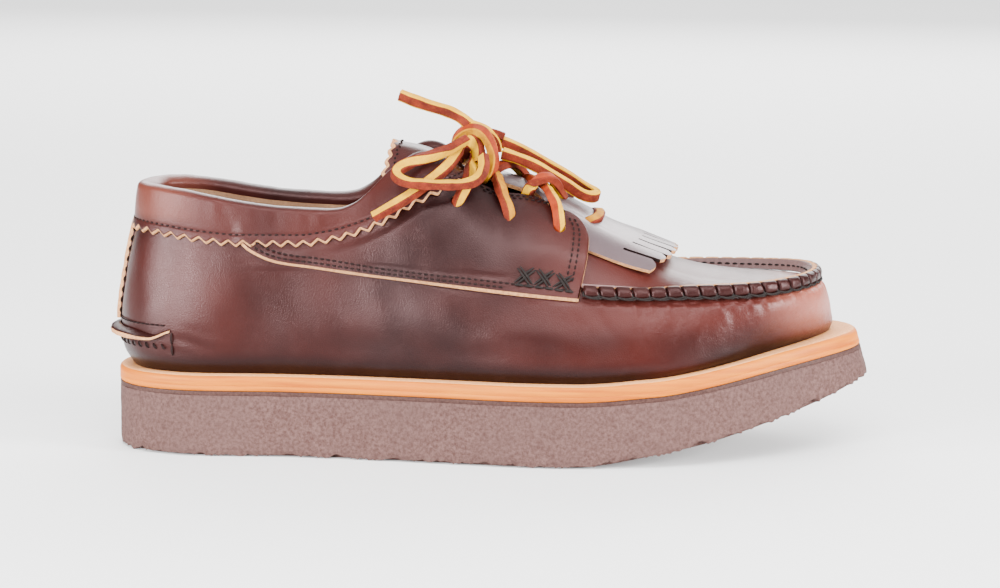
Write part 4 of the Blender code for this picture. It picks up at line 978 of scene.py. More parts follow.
# Soft troughs (depth below 0) and ridges of the leather, on both sides of the shoe.
CREASES = table(
    "x z angle length width depth",
    (-119.0, 46.0, -14, 15, 1.8, -0.55), (-112.0, 43.0, -28, 16, 2.0, -0.45),
    (-124.0, 42.0, -8, 12, 1.8, -0.45), (-104.0, 47.0, -4, 18, 2.6, 0.40),
    (-115.0, 50.0, -20, 12, 1.6, -0.30), (-90.0, 58.0, 70, 34, 11.0, -0.55),
    (-62.0, 52.0, 12, 44, 9.0, 0.45), (-28.0, 47.0, -6, 50, 8.0, -0.40),
    (16.0, 53.0, 4, 34, 5.0, 0.55), (8.0, 46.0, -2, 46, 6.0, -0.40),
    (50.0, 50.0, -24, 30, 7.0, -0.55), (60.0, 58.0, -62, 16, 3.0, 0.35),
    (72.0, 52.0, 66, 18, 3.5, -0.40), (84.0, 55.0, 80, 14, 2.6, 0.30),
    (98.0, 56.0, 72, 15, 2.8, -0.35), (44.0, 60.0, -48, 14, 2.4, -0.35),
    (112.0, 51.0, 40, 16, 4.0, -0.30))
CREASE_BOW = 0.004           # how much a crease bends, per mm
SEAM_REACH = np.linspace(0, TURN, 8001)
SEAM_TRAVEL = arc_length(seam_ring(SEAM_REACH))


def seam_travel(u):
    """Length along the seam ring from the heel."""
    return np.interp(u, SEAM_REACH, SEAM_TRAVEL)


FIRST_FOLD = seam_travel(SEAM_START)
FOLD_COUNT = int((seam_travel(TURN - SEAM_START) - FIRST_FOLD) / SEAM_PITCH)


def pucker_relief(u, w):
    """Gathers of the wall under the seam: a small peak at each stitch, with wrinkles."""
    draw = np.random.default_rng(17)
    leans, reaches, heights = (-0.12, 0.12), (1.6, 4.2), (0.45, 0.85)
    wall = np.linalg.norm(form(u, 1.0) - form(u, 0.0), axis=-1)
    down = (1 - w) * wall
    s = seam_travel(u) - FIRST_FOLD
    height = np.zeros(np.broadcast_shapes(s.shape, down.shape))
    for k in range(1, FOLD_COUNT):
        lean, reach, tall = (draw.uniform(*limits) for limits in (leans, reaches, heights))
        off = s - k * SEAM_PITCH - lean * down
        height = height + tall * np.exp(-(off / (0.9 + 0.10 * down)) ** 2 - down / reach)
    fine, patchy = (ripple(np.stack(np.broadcast_arrays(s, down * squeeze, 0 * s), -1), seed, size)
                    for squeeze, seed, size in ((0.28, 23, 2.9), (1.0, 24, 30)))
    patchy = np.clip(0.6 + 0.6 * patchy, 0, 1.2)
    height = height + 0.15 * fine * patchy * np.exp(-down / 13)
    ends = smooth_step(0, 5, s) * smooth_step(0, 5, SEAM_PITCH * FOLD_COUNT - s)
    return height * ends * (w <= 1) - 0.5 * np.exp(-(down / 1.3) ** 2) * ends


def crease_relief(points):
    """Depth of the soft creases at the form's points."""
    total = 0
    for crease in CREASES:
        angle = math.radians(crease.angle)
        dx, dz = points[..., 0] - crease.x, points[..., 2] - crease.z
        along = dx * math.cos(angle) + dz * math.sin(angle)
        over = dz * math.cos(angle) - dx * math.sin(angle)
        over = over + CREASE_BOW * along ** 2
        fall = (over / crease.width) ** 2 + (along / crease.length * 1.5) ** 4
        total = total + crease.depth * np.exp(-fall)
    return total


THROAT_SINK = 4.8


def throat_sink(x, w):
    """How much deeper the leather lies between the quarters than the form does."""
    along = smooth_step(-14.0, 0.0, x) * (1 - smooth_step(34.0, 54.0, x))
    return THROAT_SINK * along * smooth_step(1.95, 2.25, np.minimum(w, 4 - w))


def upper_relief(points, u, w):
    """How far the leather swells from the form, kept flat where other pieces lie on it."""
    row = row_of(u)
    x, z = points[..., 0], points[..., 2]
    soft = 0.30 * ripple(points, 31, 52) + 0.10 * ripple(points, 32, 17)
    free = soft * smooth_step(0.0, 0.12, w) + crease_relief(points) * smooth_step(0.02, 0.2, w) * (w < 1)
    over_welt = 0.7 * np.exp(-((w - 0.16) / 0.13) ** 2)
    free = free + pucker_relief(u, w) + over_welt
    line = np.where(x < -97, collar_edge(x), quarter_line(x))
    covered = smooth_step(-2.5, 0.0, z - line) * (1 - smooth_step(8.2, 8.32, row))
    lid = (w > 1) & (row > 8.4)
    free = np.where(lid, 0.12 * ripple(points, 33, 34) - 0.18, free)
    return free * (1 - covered) - 0.05 * covered


def upper_skins(u, w):
    """Outer and inner surface of the upper, over rows of w and columns of u."""
    u, w = np.broadcast_arrays(u[None, :], w[:, None])
    base, out = form(u, w), normal(u, w)
    base = base - out * throat_sink(base[..., 0], w)[..., None]
    return base + out * upper_relief(base, u, np.minimum(w, 3))[..., None], base - out * WALL


HEEL_COLUMNS, TOE_SPACING = 96, 0.85
WALL_LINES, SHOULDER_LINES, LID_LINES = 36, 14, 39


def make_upper():
    """Wall all round up to the top ring, with a lid over the toes, in front of the throat."""
    heel = np.linspace(0, THROAT_FRONT, HEEL_COLUMNS)[:-1]
    front = spaced(seam_ring, THROAT_FRONT, LAST_ROW, TOE_SPACING)
    ring = mirrored(np.concatenate([heel, front]))
    wall = 1 - np.linspace(1, 0, WALL_LINES) ** 1.25
    shoulder = 1 + np.linspace(0, 1, SHOULDER_LINES)[1:]
    outer, inner = upper_skins(ring, np.concatenate([wall, shoulder]))
    shape = Shape()
    high, low = shape.grid(outer, 0, closed=True), shape.grid(inner, 1, closed=True)
    shape.rim(outer[0], inner[0], outer[1], high[0], low[0], 2, 0.1)

    first, half = len(heel), len(ring) // 2
    lid, under = upper_skins(front, np.linspace(2, 4, LID_LINES))
    back = [(-k) % len(ring) for k in range(first, half + 1)]
    for top, rows in ((lid, outer), (under, inner)):
        top[0], top[-1] = rows[-1, first:half + 1], rows[-1, back]
        top[:, -1] = rows[-1, half]
        top[1:-1, -2] = top[1:-1, -3] * 0.5 + rows[-1, half] * 0.5
    lid_index, under_index = shape.grid(lid, 0), shape.grid(under, 1)

    def throat(rows, grid, step=-1):
        """Closed border of the opening: outer side, front edge of the lid, inner side."""
        return np.concatenate([rows[step, :first + 1], grid[1:-1, 0 if step == -1 else 1],
                               rows[step, len(ring) - first:]])
    shape.rim(throat(outer, lid), throat(inner, under), throat(outer, lid, -2),
              throat(high, lid_index), throat(low, under_index), 2, 0.25)
    upper = shape.piece("upper_fine", "brown leather", LEATHER, FLESH, EDGE, sharp=50)
    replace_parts(upper, "upper")


# ---------------------------------------------------------------- stitches
BEAD_SIDES = 6
Stitch = namedtuple("Stitch", "pitch length width height")
QUARTER_STITCH = Stitch(2.5, 1.7, 0.75, 0.45)
FRONT_STITCH = Stitch(4.0, 3.6, 1.1, 0.9)       # under the crosses
COLLAR_STITCH = Stitch(2.7, 1.9, 0.85, 0.5)
TONGUE_HOLE = Stitch(2.3, 0.9, 0.95, 0.25)
FLANGE_STITCH = Stitch(2.5, 1.9, 0.7, 0.45)
FLANGE_END_STITCH = Stitch(4.9, 4.7, 0.9, 0.8)


def bead(shape, start, end, out, width, height, droop=0.0):
    """One stitch: a short thread that dives in at both ends."""
    t = np.linspace(0, 1, 6)
    arch = np.sin(math.pi * t) ** 0.6
    path = start + (end - start) * t[:, None] + out * ((height * (arch - 0.45))[:, None])
    across = unit(np.cross(end - start, out))
    path = path + across * (droop * np.sin(math.pi * t))[:, None]
    thick = width * (0.55 + 0.45 * arch)
    angles = 2 * math.pi * np.arange(BEAD_SIDES)[:, None, None] / BEAD_SIDES
    ring = across * np.cos(angles) + out * np.sin(angles)
    index = shape.add(path[None] + ring * (thick / 2)[None, :, None])
    for k in range(BEAD_SIDES):
        shape.strip(index[k], index[(k + 1) % BEAD_SIDES])


def stitch_row(shape, points, outs, stitch):
    """Stitches along a line on a surface."""
    reach = arc_length(points)
    for start in np.arange(0.0, reach[-1] - stitch.length, stitch.pitch):
        places = np.array([start, start + stitch.length])
        ends = np.column_stack([np.interp(places, reach, points[:, k]) for k in range(3)])
        out = np.array([np.interp(start + stitch.length / 2, reach, outs[:, k]) for k in range(3)])
        bead(shape, ends[0], ends[1], unit(out), stitch.width, stitch.height)


def thread_cross(shape, corners, out, width):
    """Hand-sewn cross: two threads, each of two strands, over each other."""
    a, b, c, d = corners
    for start, end, height in ((a, c, 1.0), (d, b, 1.7)):
        across = unit(np.cross(end - start, out)) * width * 0.62
        for side in (-1, 1):
            bead(shape, start + across * side, end + across * side, out, width, height)


# ---------------------------------------------------------------- the apron seam
SEAT_NEAR, SEAT_FAR = 0.8, 3.2    # from the seam ring to the seat, where the lid is steep and flat
FOLD_FOOT = 3.6              # reach of the standing edges' inner face over the lid
FOLD_HEIGHT = 5.0
SLIT_HALF = 0.42             # half the width of the cleft between two folds
FOLD_SECTION = (  # (out, rise, mark) of the standing edges: the sewn fold, then the lid's raw edge
    (0.2, -0.2, 0), (1.7, -0.3, 0), (2.8, 0.0, 0), (3.45, 0.8, 0), (3.7, 1.9, 0), (3.65, 3.0, 0),
    (3.35, 3.9, 0), (2.8, 4.5, 0), (2.2, 4.75, 1), (1.9, 4.6, 1), (1.6, 4.95, 1), (0.9, 5.1, 1),
    (0.35, 4.9, 2), (-0.1, 4.4, 2))


def seam_seat(u, steep=0.0, reach=FOLD_FOOT):
    """Where the standing edges meet the lid, or the foot of their inner face."""
    length = np.linalg.norm(top_ring(u) - seam_ring(u), axis=-1)
    seat = SEAT_NEAR + (SEAT_FAR - SEAT_NEAR) * (1 - steep)
    return raised(u, 1 + (seat + reach) / length, GAP + 0.15, 1)


def seam_frame(u):
    """Seat, outward and rising directions of the apron seam's standing edges."""
    steep = smooth_step(25.0, 62.0, seam_slopes(u)[..., 1])
    into = inward(u)[1]
    angle = np.radians(80 - 18 * steep)[..., None]   # the edges lie back more where it is steep
    rise = np.cos(angle) * into + np.sin(angle) * UP
    out = np.cos(angle) * UP - np.sin(angle) * into
    return seam_seat(u, steep, 0.0), out, rise


def make_apron_seam():
    """Standing edges of wall and lid, drawn into folds by the stitches."""
    end = TURN - SEAM_START
    u = spaced(seam_ring, SEAM_START, end, SLIT_HALF)
    seat, out, rise = seam_frame(u)
    travel = seam_travel(u) - FIRST_FOLD
    draw = np.random.default_rng(5)
    fat = draw.uniform(0.75, 1.15, FOLD_COUNT + 3)
    lean = draw.uniform(-0.6, 0.6, FOLD_COUNT + 3)
    rows = []
    for a, r, _ in FOLD_SECTION:
        s = travel + 0.9 * (r / FOLD_HEIGHT) ** 2
        fold = np.clip(np.round(s / SEAM_PITCH).astype(int), 0, FOLD_COUNT + 1)
        off = s - fold * SEAM_PITCH + lean[fold] * (r / FOLD_HEIGHT)
        here = np.clip((s / SEAM_PITCH).astype(int), 0, FOLD_COUNT + 1)
        slit = np.exp(-(off / SLIT_HALF) ** 2)
        swell = 0.30 * fat[here] * np.abs(np.sin(math.pi * s / SEAM_PITCH)) ** 0.6 - 0.12
        front = smooth_step(0.3, 2.6, a)
        deep = front * (swell - 1.7 * slit * smooth_step(-0.5, 0.6, r))
        top = smooth_step(3.4, 4.8, r) * (0.22 * swell - 0.55 * slit * front)
        rows.append(seat + out * (a + deep)[:, None] + rise * (r + top)[:, None])
    foot = seam_seat(u)
    rows += [rows[-1] + (foot - rows[-1]) * part for part in (0.5, 1.0)]
    shape = Shape()
    # The inner face (mark 2) and its foot take the paler colour with painted sheen.
    shape.loft(rows, [mark for _, _, mark in FOLD_SECTION] + [2, 2])
    seam = shape.piece("apron_seam_fine", "seam leather", SEAM_LEATHER, EDGE, SEAM_FACE_PAINTED_SHEEN, sharp=60)
    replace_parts(seam, "apron_seam")

    def spots(pitches):
        """Ring parameters at places counted in folds."""
        return np.interp(FIRST_FOLD + SEAM_PITCH * pitches, SEAM_TRAVEL, SEAM_REACH)
    threads = Shape()
    for k in range(FOLD_COUNT):
        ends = spots(k + np.array([-0.10, 0.35, 0.75, 1.12]))
        seat, out, rise = seam_frame(np.clip(ends, SEAM_START, end))
        base = seat + out * 3.0 - rise * 0.35
        away = unit(out[0] - rise[0] * 0.8)
        bead(threads, base[0] + rise[0] * 0.6, base[3] - rise[3] * 0.4, away, 1.0, 0.9, droop=0.3)
        bead(threads, base[1] - rise[1] * 0.4, base[3] + rise[3] * 0.5, away, 0.7, 1.0, droop=-0.25)
        foot = base[0] + out[0] * 0.1
        bead(threads, foot, foot + rise[0] * 2.6 - out[0] * 0.7, out[0], 0.75, 0.5)
    for k in range(int(0.5 * FOLD_COUNT), FOLD_COUNT * 2):   # chain on the inner face
        spot = spots((k + np.array([0.1, 0.85])) / 2)
        if spot[1] > end:
            break
        seat, out, rise = seam_frame(spot)
        crown = seat - out * 0.1 + rise * 4.4
        chain = (crown + seam_seat(spot)) / 2
        bead(threads, chain[0], chain[1], unit(rise[0] - out[0]), 0.75, 0.7)
    threads.piece("apron_stitches", "seam leather", WAXED_THREAD, clean=False)


# ---------------------------------------------------------------- the quarters
QUARTER_TOP = 1.97           # w of the throat edge
UNDER_COLLAR = 6.6           # u up to which its top edge stays under the collar
TOP_EASE = (6.2, 6.75)       # u where the top edge climbs to the throat edge
CORNER_RUN = (0.46, 0.32)    # the corner's rounding in u, back from the front edge
QUARTER_COLUMNS, QUARTER_LINES = 170, 44
SKIVED = 0.9                 # thickness of their top edge, under the collar
PINK_PITCH, PINK_HEIGHT = 6.1, 2.1
COLLAR_SEW = 4.9             # height of the collar's stitch row over its tips


def quarter_offset(u, w):
    """Clearance under the quarters: they lift over the edge of the kiltie in front."""
    x = form(u, w)[..., 0]
    lift = smooth_step(2.0, 15.0, x) * smooth_step(1.1, 1.45, w)
    return GAP + lift * (KILTIE_THICKNESS + GAP)


class Quarter:
    """Outline of one quarter on the form, as a patch of s along it and t up it."""

    def __init__(self):
        self.low = self.side_line(QUARTER_LOWER_EDGE, QUARTER_COLUMNS, (4.0, 1.2))
        self.front = self.side_line(QUARTER_FRONT_EDGE, QUARTER_LINES, (8.4, 1.5))
        start, end = self.low[0, 0] + 0.05, self.front[-1, 0] - 0.01
        u = np.linspace(start, end, QUARTER_COLUMNS)
        under = edge_mark(u, PINK_HEIGHT + 1.1)
        top = np.where(u < UNDER_COLLAR, np.minimum(under, QUARTER_TOP), QUARTER_TOP)
        smooth = np.interp(u, [start, *TOP_EASE, end], [0, 0, 1, 1])
        top = top * (1 - smooth) + QUARTER_TOP * smooth
        corner = smooth_step(*(end - run for run in CORNER_RUN), u)
        top = top + (self.front[-1, 1] - QUARTER_TOP) * corner
        u[-1], top[-1] = self.front[-1]
        self.top = np.stack([u, top], -1)
        t = np.linspace(0, 1, QUARTER_LINES)[:, None]
        self.back = self.low[0] + (self.top[0] - self.low[0]) * t

    @staticmethod
    def side_line(table_rows, count, guess):
        """Ring parameters and w of points along a line drawn on the side."""
        at, length = open_spline(table_rows)
        line = at(np.linspace(0, length, count))
        return np.stack(locate(line[:, 0], line[:, 1], guess=guess), -1)

    def marks(self, s, t):
        """Ring parameter and w at s, t: the four edges' lines mixed into a patch."""
        s, t = np.broadcast_arrays(np.asarray(s, float), np.asarray(t, float))

        def along(row, place):
            grid = np.linspace(0, 1, len(row))
            return np.stack([np.interp(place, grid, row[:, k]) for k in range(2)], -1)
        a, b = s[..., None], t[..., None]
        flat = ((1 - b) * ((1 - a) * self.low[0] + a * self.low[-1])
                + b * ((1 - a) * self.top[0] + a * self.top[-1]))
        mixed = ((1 - b) * along(self.low, s) + b * along(self.top, s)
                 + (1 - a) * along(self.back, t) + a * along(self.front, t) - flat)
        return mixed[..., 0], mixed[..., 1]

    def place(self, s, t, inner=False, lift=0.0):
        """Point at s, t, lift over the form beyond the quarter's clearance."""
        u, w = self.marks(s, t)
        side = TURN - u if inner else u
        return raised(side, w, quarter_offset(side, w) + lift), normal(side, w)

    def share(self, distance, near, far):
        """distance mm as a share of the way between two places, each an s and a t."""
        return distance / np.linalg.norm(self.place(*far)[0] - self.place(*near)[0], axis=-1)

    def row_above(self, height, first, last):
        """s and t of a line height mm above the lower edge."""
        s = np.linspace(first, last, 260)
        return s, np.minimum(self.share(height, (s, 0.0), (s, 1.0)), 1.0)

    def row_behind(self, distance, first, last):
        """s and t of a line distance mm behind the front edge."""
        t = np.linspace(first, last, 160)
        return 1 - 0.15 * self.share(distance, (0.85, t), (1.0, t)), t

    def row_below(self, distance, first, last):
        """s and t of a line distance mm below the throat edge."""
        s = np.linspace(first, last, 200)
        return s, 1 - 0.25 * self.share(distance, (s, 0.75), (s, 1.0))


QUARTER = Quarter()
STITCH_LINES = [   # rows of fine stitches on a quarter
    QUARTER.row_above(2.3, 0.02, 0.80), QUARTER.row_above(4.2, 0.03, 0.99),
    QUARTER.row_behind(4.0, 0.20, 0.84), QUARTER.row_behind(6.4, 0.20, 0.84),
    QUARTER.row_below(3.0, 0.745, 0.975), QUARTER.row_below(5.2, 0.745, 0.965)]


PUNCH_SIDES, PUNCH_BELOW, PUNCH_ABOVE = 28, -6, 9


def bore_eyelets(item, inner):
    """Punches the three eyelets through a finished quarter."""
    shape = Shape()
    angles = 2 * math.pi * np.arange(PUNCH_SIDES)[:, None] / PUNCH_SIDES
    for spot in EYELETS:
        u, w = locate(spot.x, spot.z, inner)
        centre, axis = form(u, w), normal(u, w)
        across = unit(np.cross(axis, UP))
        ring = across * np.cos(angles) + np.cross(across, axis) * np.sin(angles)
        radius = EYELET_DIAMETER / 2
        profile = ((PUNCH_BELOW, 0.02), (PUNCH_BELOW, radius), (PUNCH_ABOVE, radius), (PUNCH_ABOVE, 0.02))
        shape.grid(np.stack([centre + axis * z + ring * r for z, r in profile]), 0, closed=True)
    cutter = shape.piece("eyelet_punch", "brown leather", EDGE)
    cut = item.modifiers.new("eyelets", "BOOLEAN")
    cut.object, cut.operation, cut.solver, cut.material_mode = cutter, "DIFFERENCE", "EXACT", "TRANSFER"
    bpy.context.view_layer.update()
    mesh = bpy.data.meshes.new_from_object(item.evaluated_get(bpy.context.evaluated_depsgraph_get()))
    item.modifiers.clear()
    item.data = mesh
    mesh.set_sharp_from_angle(angle=math.radians(40))
    bpy.data.objects.remove(cutter)


def quarter_crease(points):
    """Long crease above the lower edge."""
    x, z = points[..., 0], points[..., 2]
    ends = smooth_step(-52.0, -40.0, x) * (1 - smooth_step(2.0, 12.0, x))
    return -0.45 * ends * np.exp(-((z - 79.4 + 0.083 * (x + 50)) / 0.75) ** 2)


CROSS_START, CROSS_PITCH, CROSS_WIDTH, CROSS_LEAN = 0.822, 0.052, 0.044, 0.004   # along s
CROSS_LOW, CROSS_HIGH = 0.10, 0.255                                              # up t


def make_quarter(inner):
    """Skin with its raw edge, eyelets and rows of stitches, and the crosses in front."""
    name = "quarter_medial" if inner else "quarter_lateral"
    s = np.sort(np.append(np.linspace(0, 1, QUARTER_COLUMNS), 0.9965))
    edge_t = np.interp(s, *QUARTER.row_above(0.9, 0.0, 1.0))
    steps = np.linspace(0, 1, QUARTER_LINES)[:, None]
    t = np.concatenate([np.zeros((1, len(s))), edge_t + (1 - edge_t) * steps])
    s = np.broadcast_to(s, t.shape)
    u, w = QUARTER.marks(s, t)
    side = TURN - u if inner else u
    base, offset = form(side, w), quarter_offset(side, w)
    swell = 0.20 * ripple(base, 41, 40) + 0.07 * ripple(base, 42, 14) + quarter_crease(base)
    gap = np.minimum(np.minimum(t / 0.12, (1 - t) / 0.12), (1 - s) / 0.05)
    swell = swell * np.clip(gap, 0, 1)
    below = collar_edge(base[..., 0]) - base[..., 2]
    under_collar = (1 - smooth_step(0.0, 4.5, below)) * (1 - smooth_step(-16.0, -8.0, base[..., 0]))
    thick = OVERLAY - (OVERLAY - SKIVED) * under_collar
    thick[0] = 0.7                                   # pared along the raw edge
    thick[:, -1] = np.minimum(thick[:, -1], 1.3)     # and at the front
    outer = raised(side, w, offset + thick + swell)
    under = raised(side, w, offset + np.minimum(swell, 0.0))
    shape = Shape()
    shape.slab(outer, under, (np.append(2, np.zeros(len(t) - 2, int)), 1, 2), 0.15)
    item = shape.piece(f"{name}_fine", "brown leather", LEATHER, FLESH, EDGE)
    bore_eyelets(item, inner)
    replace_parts(item, name)

    threads, waxed = Shape(), Shape()
    for s, t in STITCH_LINES:
        stitch_row(threads, *QUARTER.place(s, t, inner, OVERLAY + 0.05), QUARTER_STITCH)
    for k in range(3):
        low = CROSS_START + CROSS_PITCH * k
        high = low + CROSS_LEAN
        corners, outs = QUARTER.place([low, low + CROSS_WIDTH, high + CROSS_WIDTH, high],
                                      [CROSS_LOW, CROSS_LOW, CROSS_HIGH, CROSS_HIGH], inner, OVERLAY + 0.2)
        thread_cross(waxed, corners, unit(outs[0]), 0.95)
    line = QUARTER.place(np.linspace(0.82, 0.985, 60), 0.09, inner, OVERLAY + 0.1)
    stitch_row(waxed, *line, FRONT_STITCH)
    threads.piece(f"{name}_stitches", "seam leather", THREAD, clean=False)
    waxed.piece(f"{name}_crosses", "seam leather", WAXED_THREAD, clean=False)


# ---------------------------------------------------------------- the collar
COLLAR_DEPTH = 13.0          # how far the lining comes down inside


def roll_radius(u):
    """Half the thickness of the padded roll, thinner towards the throat."""
    return 4.4 - 1.7 * smooth_step(4.0, COLLAR_END, row_of(u))


def rounded_zigzag(s, pitch):
    """Pinked edge: 0 at its tips, 1 in its notches, both a little round."""
    wave = triangle_wave(s, pitch)
    return smooth_step(-0.06, 1.06, wave) * 0.35 + 0.65 * wave


# The collar's outside in rows from its pinked edge up: share of the pinking, height over the
# tips, lift over its seat, and mark. It thins to the tips and dips at the stitch row.
COLLAR_EDGE_ROWS = ((1.0, 0.1, 0.1, 1), (1.0, 0.0, 0.45, 1), (1.0, 0.25, 1.05, 1), (1.0, 0.85, 1.6, 0),
                    (0.8, 1.6, 1.85, 0), (0.4, 2.6, 1.8, 0))
COLLAR_STITCH_ROWS = ((-1.1, 1.78), (-0.6, 1.74), (-0.25, 1.6), (0.0, 1.5), (0.3, 1.65), (0.8, 1.85))
COLLAR_TOP = 0.985           # share of its height where the roll turns over


def make_collar():
    """Padded roll: pinked outside, round top and lining, as one closed section. Its rows run
    from the pinked tips up the outside, over the top, down the lining and back underneath."""
    u = around_heel(lambda v: form(v, edge_mark(v)), COLLAR_END, PINK_PITCH / 12)
    edge = edge_mark(u)
    path = form(u, edge)
    s = arc_length(path)
    notch = PINK_HEIGHT * rounded_zigzag(s - s[len(u) // 2], PINK_PITCH)
    length = np.linalg.norm(form(u, 2.0) - form(u, 1.0), axis=-1)
    tip, out = form(u, 2.0), normal(u, 2.0, -1)
    full = (2 - edge) * length
    up = np.cross(inward(u % TURN)[0], out)
    up = up * np.sign(up[..., 2:3])
    radius = roll_radius(u)
    gap = GAP + 0.3 * smooth_step(4.0, 5.0, row_of(u))
    seat = gap + (SKIVED + 0.1) * smooth_step(-103.0, -97.5, path[:, 0])
    puff = 0.22 * ripple(path, 61, 24) + 0.10 * ripple(path, 62, 9)
    rows, marks = [], []

    def add(points, mark):
        rows.append(points)
        marks.append(mark)

    def flap(height, lift, mark=0):
        w = edge + np.minimum(height, full * COLLAR_TOP) / length
        add(raised(u, w, np.broadcast_to(lift, u.shape), -1), mark)
    for share, height, lift, mark in COLLAR_EDGE_ROWS:
        flap(notch * share + height, seat + lift, mark)
    for height, lift in COLLAR_STITCH_ROWS:
        flap(COLLAR_SEW + height, seat + lift)
    start = COLLAR_SEW + COLLAR_STITCH_ROWS[-1][0]
    for part in np.linspace(0, 1, 12)[1:]:
        rise = np.sin(part * math.pi / 2)
        lift = seat + 1.8 + (radius - 0.75 - seat - 1.8) * rise + puff * rise
        flap(start + (full * COLLAR_TOP - start) * part, lift)
    for angle in np.linspace(0, math.pi, 15)[1:]:
        side = radius * math.cos(angle) - 1 + 0.25 * math.cos(angle / 2) + puff * math.cos(angle)
        crown = (2.7 + 0.5 * puff) * math.sin(angle)
        add(tip + out * side[:, None] + up * crown[:, None], 0)
    depth = np.minimum(COLLAR_DEPTH / length, 0.7)
    for part in np.linspace(0, 1, 9)[1:]:
        inside = -1 - radius + (radius - WALL - gap - 0.2) * smooth_step(0.35, 1.0, part)
        add(raised(u, 2 - depth * part, inside - puff * (1 - part), -1), 2)
    for part in (1.0, 0.5):
        add(raised(u, 2 - depth * part, -WALL - gap, -1), 2)
    for side in (-WALL - gap, gap):
        add(tip + out * side[:, None] + up * (gap + 0.2)[:, None], 2)
    for height, lift in ((full * 0.7, gap), (COLLAR_SEW, gap), (PINK_HEIGHT + 1.3, seat)):
        flap(height, lift, 2)

    shape = Shape()
    shape.loft(rows, marks, 1)
    item = shape.piece("collar_fine", "brown leather", ROLL_LEATHER, EDGE, FLESH, sharp=55)
    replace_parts(item, "collar")

    threads = Shape()
    w = edge + COLLAR_SEW / length
    stitch_row(threads, raised(u, w, seat + 1.35), normal(u, w, -1), COLLAR_STITCH)
    threads.piece("collar_stitches", "seam leather", THREAD, clean=False)


# ---------------------------------------------------------------- tongue and kiltie
def tongue_depth(u, w):
    """How far the tongue lies under the form."""
    row = row_of(u)
    sides = WALL + 2 * GAP + (roll_radius(u) - 0.3) * (1 - smooth_step(COLLAR_END - 0.3, 7.5, row))
    middle = 1.6 + 0.8 * smooth_step(6.0, 7.5, row)
    return sides + (middle - sides) * smooth_step(2.0, 2.8, w)


TONGUE_BACK, TONGUE_FRONT, TONGUE_SIDE = 5.0, 9.0, 1.5     # its ends in u, its long edges in w
TONGUE_PINK_PITCH, TONGUE_PINK_HEIGHT = 5.6, 2.2
TONGUE_HOLES = 5.21                                        # u of its row of holes
FOOT_MIDDLE = np.array([-60.0, 0.0, 70.0])                 # its holes face away from here


def make_tongue():
    """Plain tongue under the lace, with a pinked end and a row of holes."""
    ws = np.linspace(TONGUE_SIDE, 3.0, 46)
    spread = arc_length(np.stack([form(TONGUE_BACK, w) for w in ws]))

    def crossing(depth, u):
        """Grid from the outer side over the crown to the inner side."""
        def at(w, inner):
            travel = np.interp(w, ws, spread) - spread[-1]
            notch = TONGUE_PINK_HEIGHT * rounded_zigzag(-travel if inner else travel, TONGUE_PINK_PITCH)
            pinked = u + 0.045 * notch * (1 - smooth_step(TONGUE_BACK, 5.6, u))
            side = TURN - pinked if inner else pinked
            base = form(side, w)
            sink = throat_sink(base[..., 0], w)
            return raised(side, w, -tongue_depth(side, w) - sink + depth + 0.12 * ripple(base, 71, 22))
        return np.stack([at(w, False) for w in ws] + [at(w, True) for w in ws[-2::-1]])
    us = np.linspace(TONGUE_BACK, TONGUE_FRONT, 120)
    outer, under = crossing(0.0, us).swapaxes(0, 1), crossing(-OVERLAY, us).swapaxes(0, 1)
    shape = Shape()
    shape.slab(outer, under, (np.append([2, 2], np.zeros(len(us) - 3, int)), 1, 2), 0.1)
    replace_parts(shape.piece("tongue_fine", "tongue leather", LEATHER, FLESH, EDGE), "tongue")
    holes = Shape()
    line = crossing(0.1, np.array([TONGUE_HOLES]))[:, 0]
    stitch_row(holes, line, unit(line - FOOT_MIDDLE), TONGUE_HOLE)
    holes.piece("tongue_holes", "seam leather", THREAD, clean=False)


KILTIE_STRIPS, KILTIE_HALF_WIDTH, KILTIE_NECK, KILTIE_MIDDLE = 10, 31.0, 13.0, 1.5
KILTIE_BACK, KILTIE_TIP, KILTIE_TIP_CURVE = -4.0, 74.0, 10.5
SLIT_WIDTH, SLIT_LENGTH = 1.05, 14.5
STRIP_COLUMNS, KILTIE_LINES, FRINGE_LINES = 8, 34, 15


def over_plan(x, y):
    """Ring parameter and w of the form's points at plan places x, y."""
    outer, inner = (locate(x, y, side, (0, 1), (8.5, 2.3)) for side in (False, True))
    return tuple(np.where(y > KILTIE_MIDDLE, far, near) for near, far in zip(outer, inner))


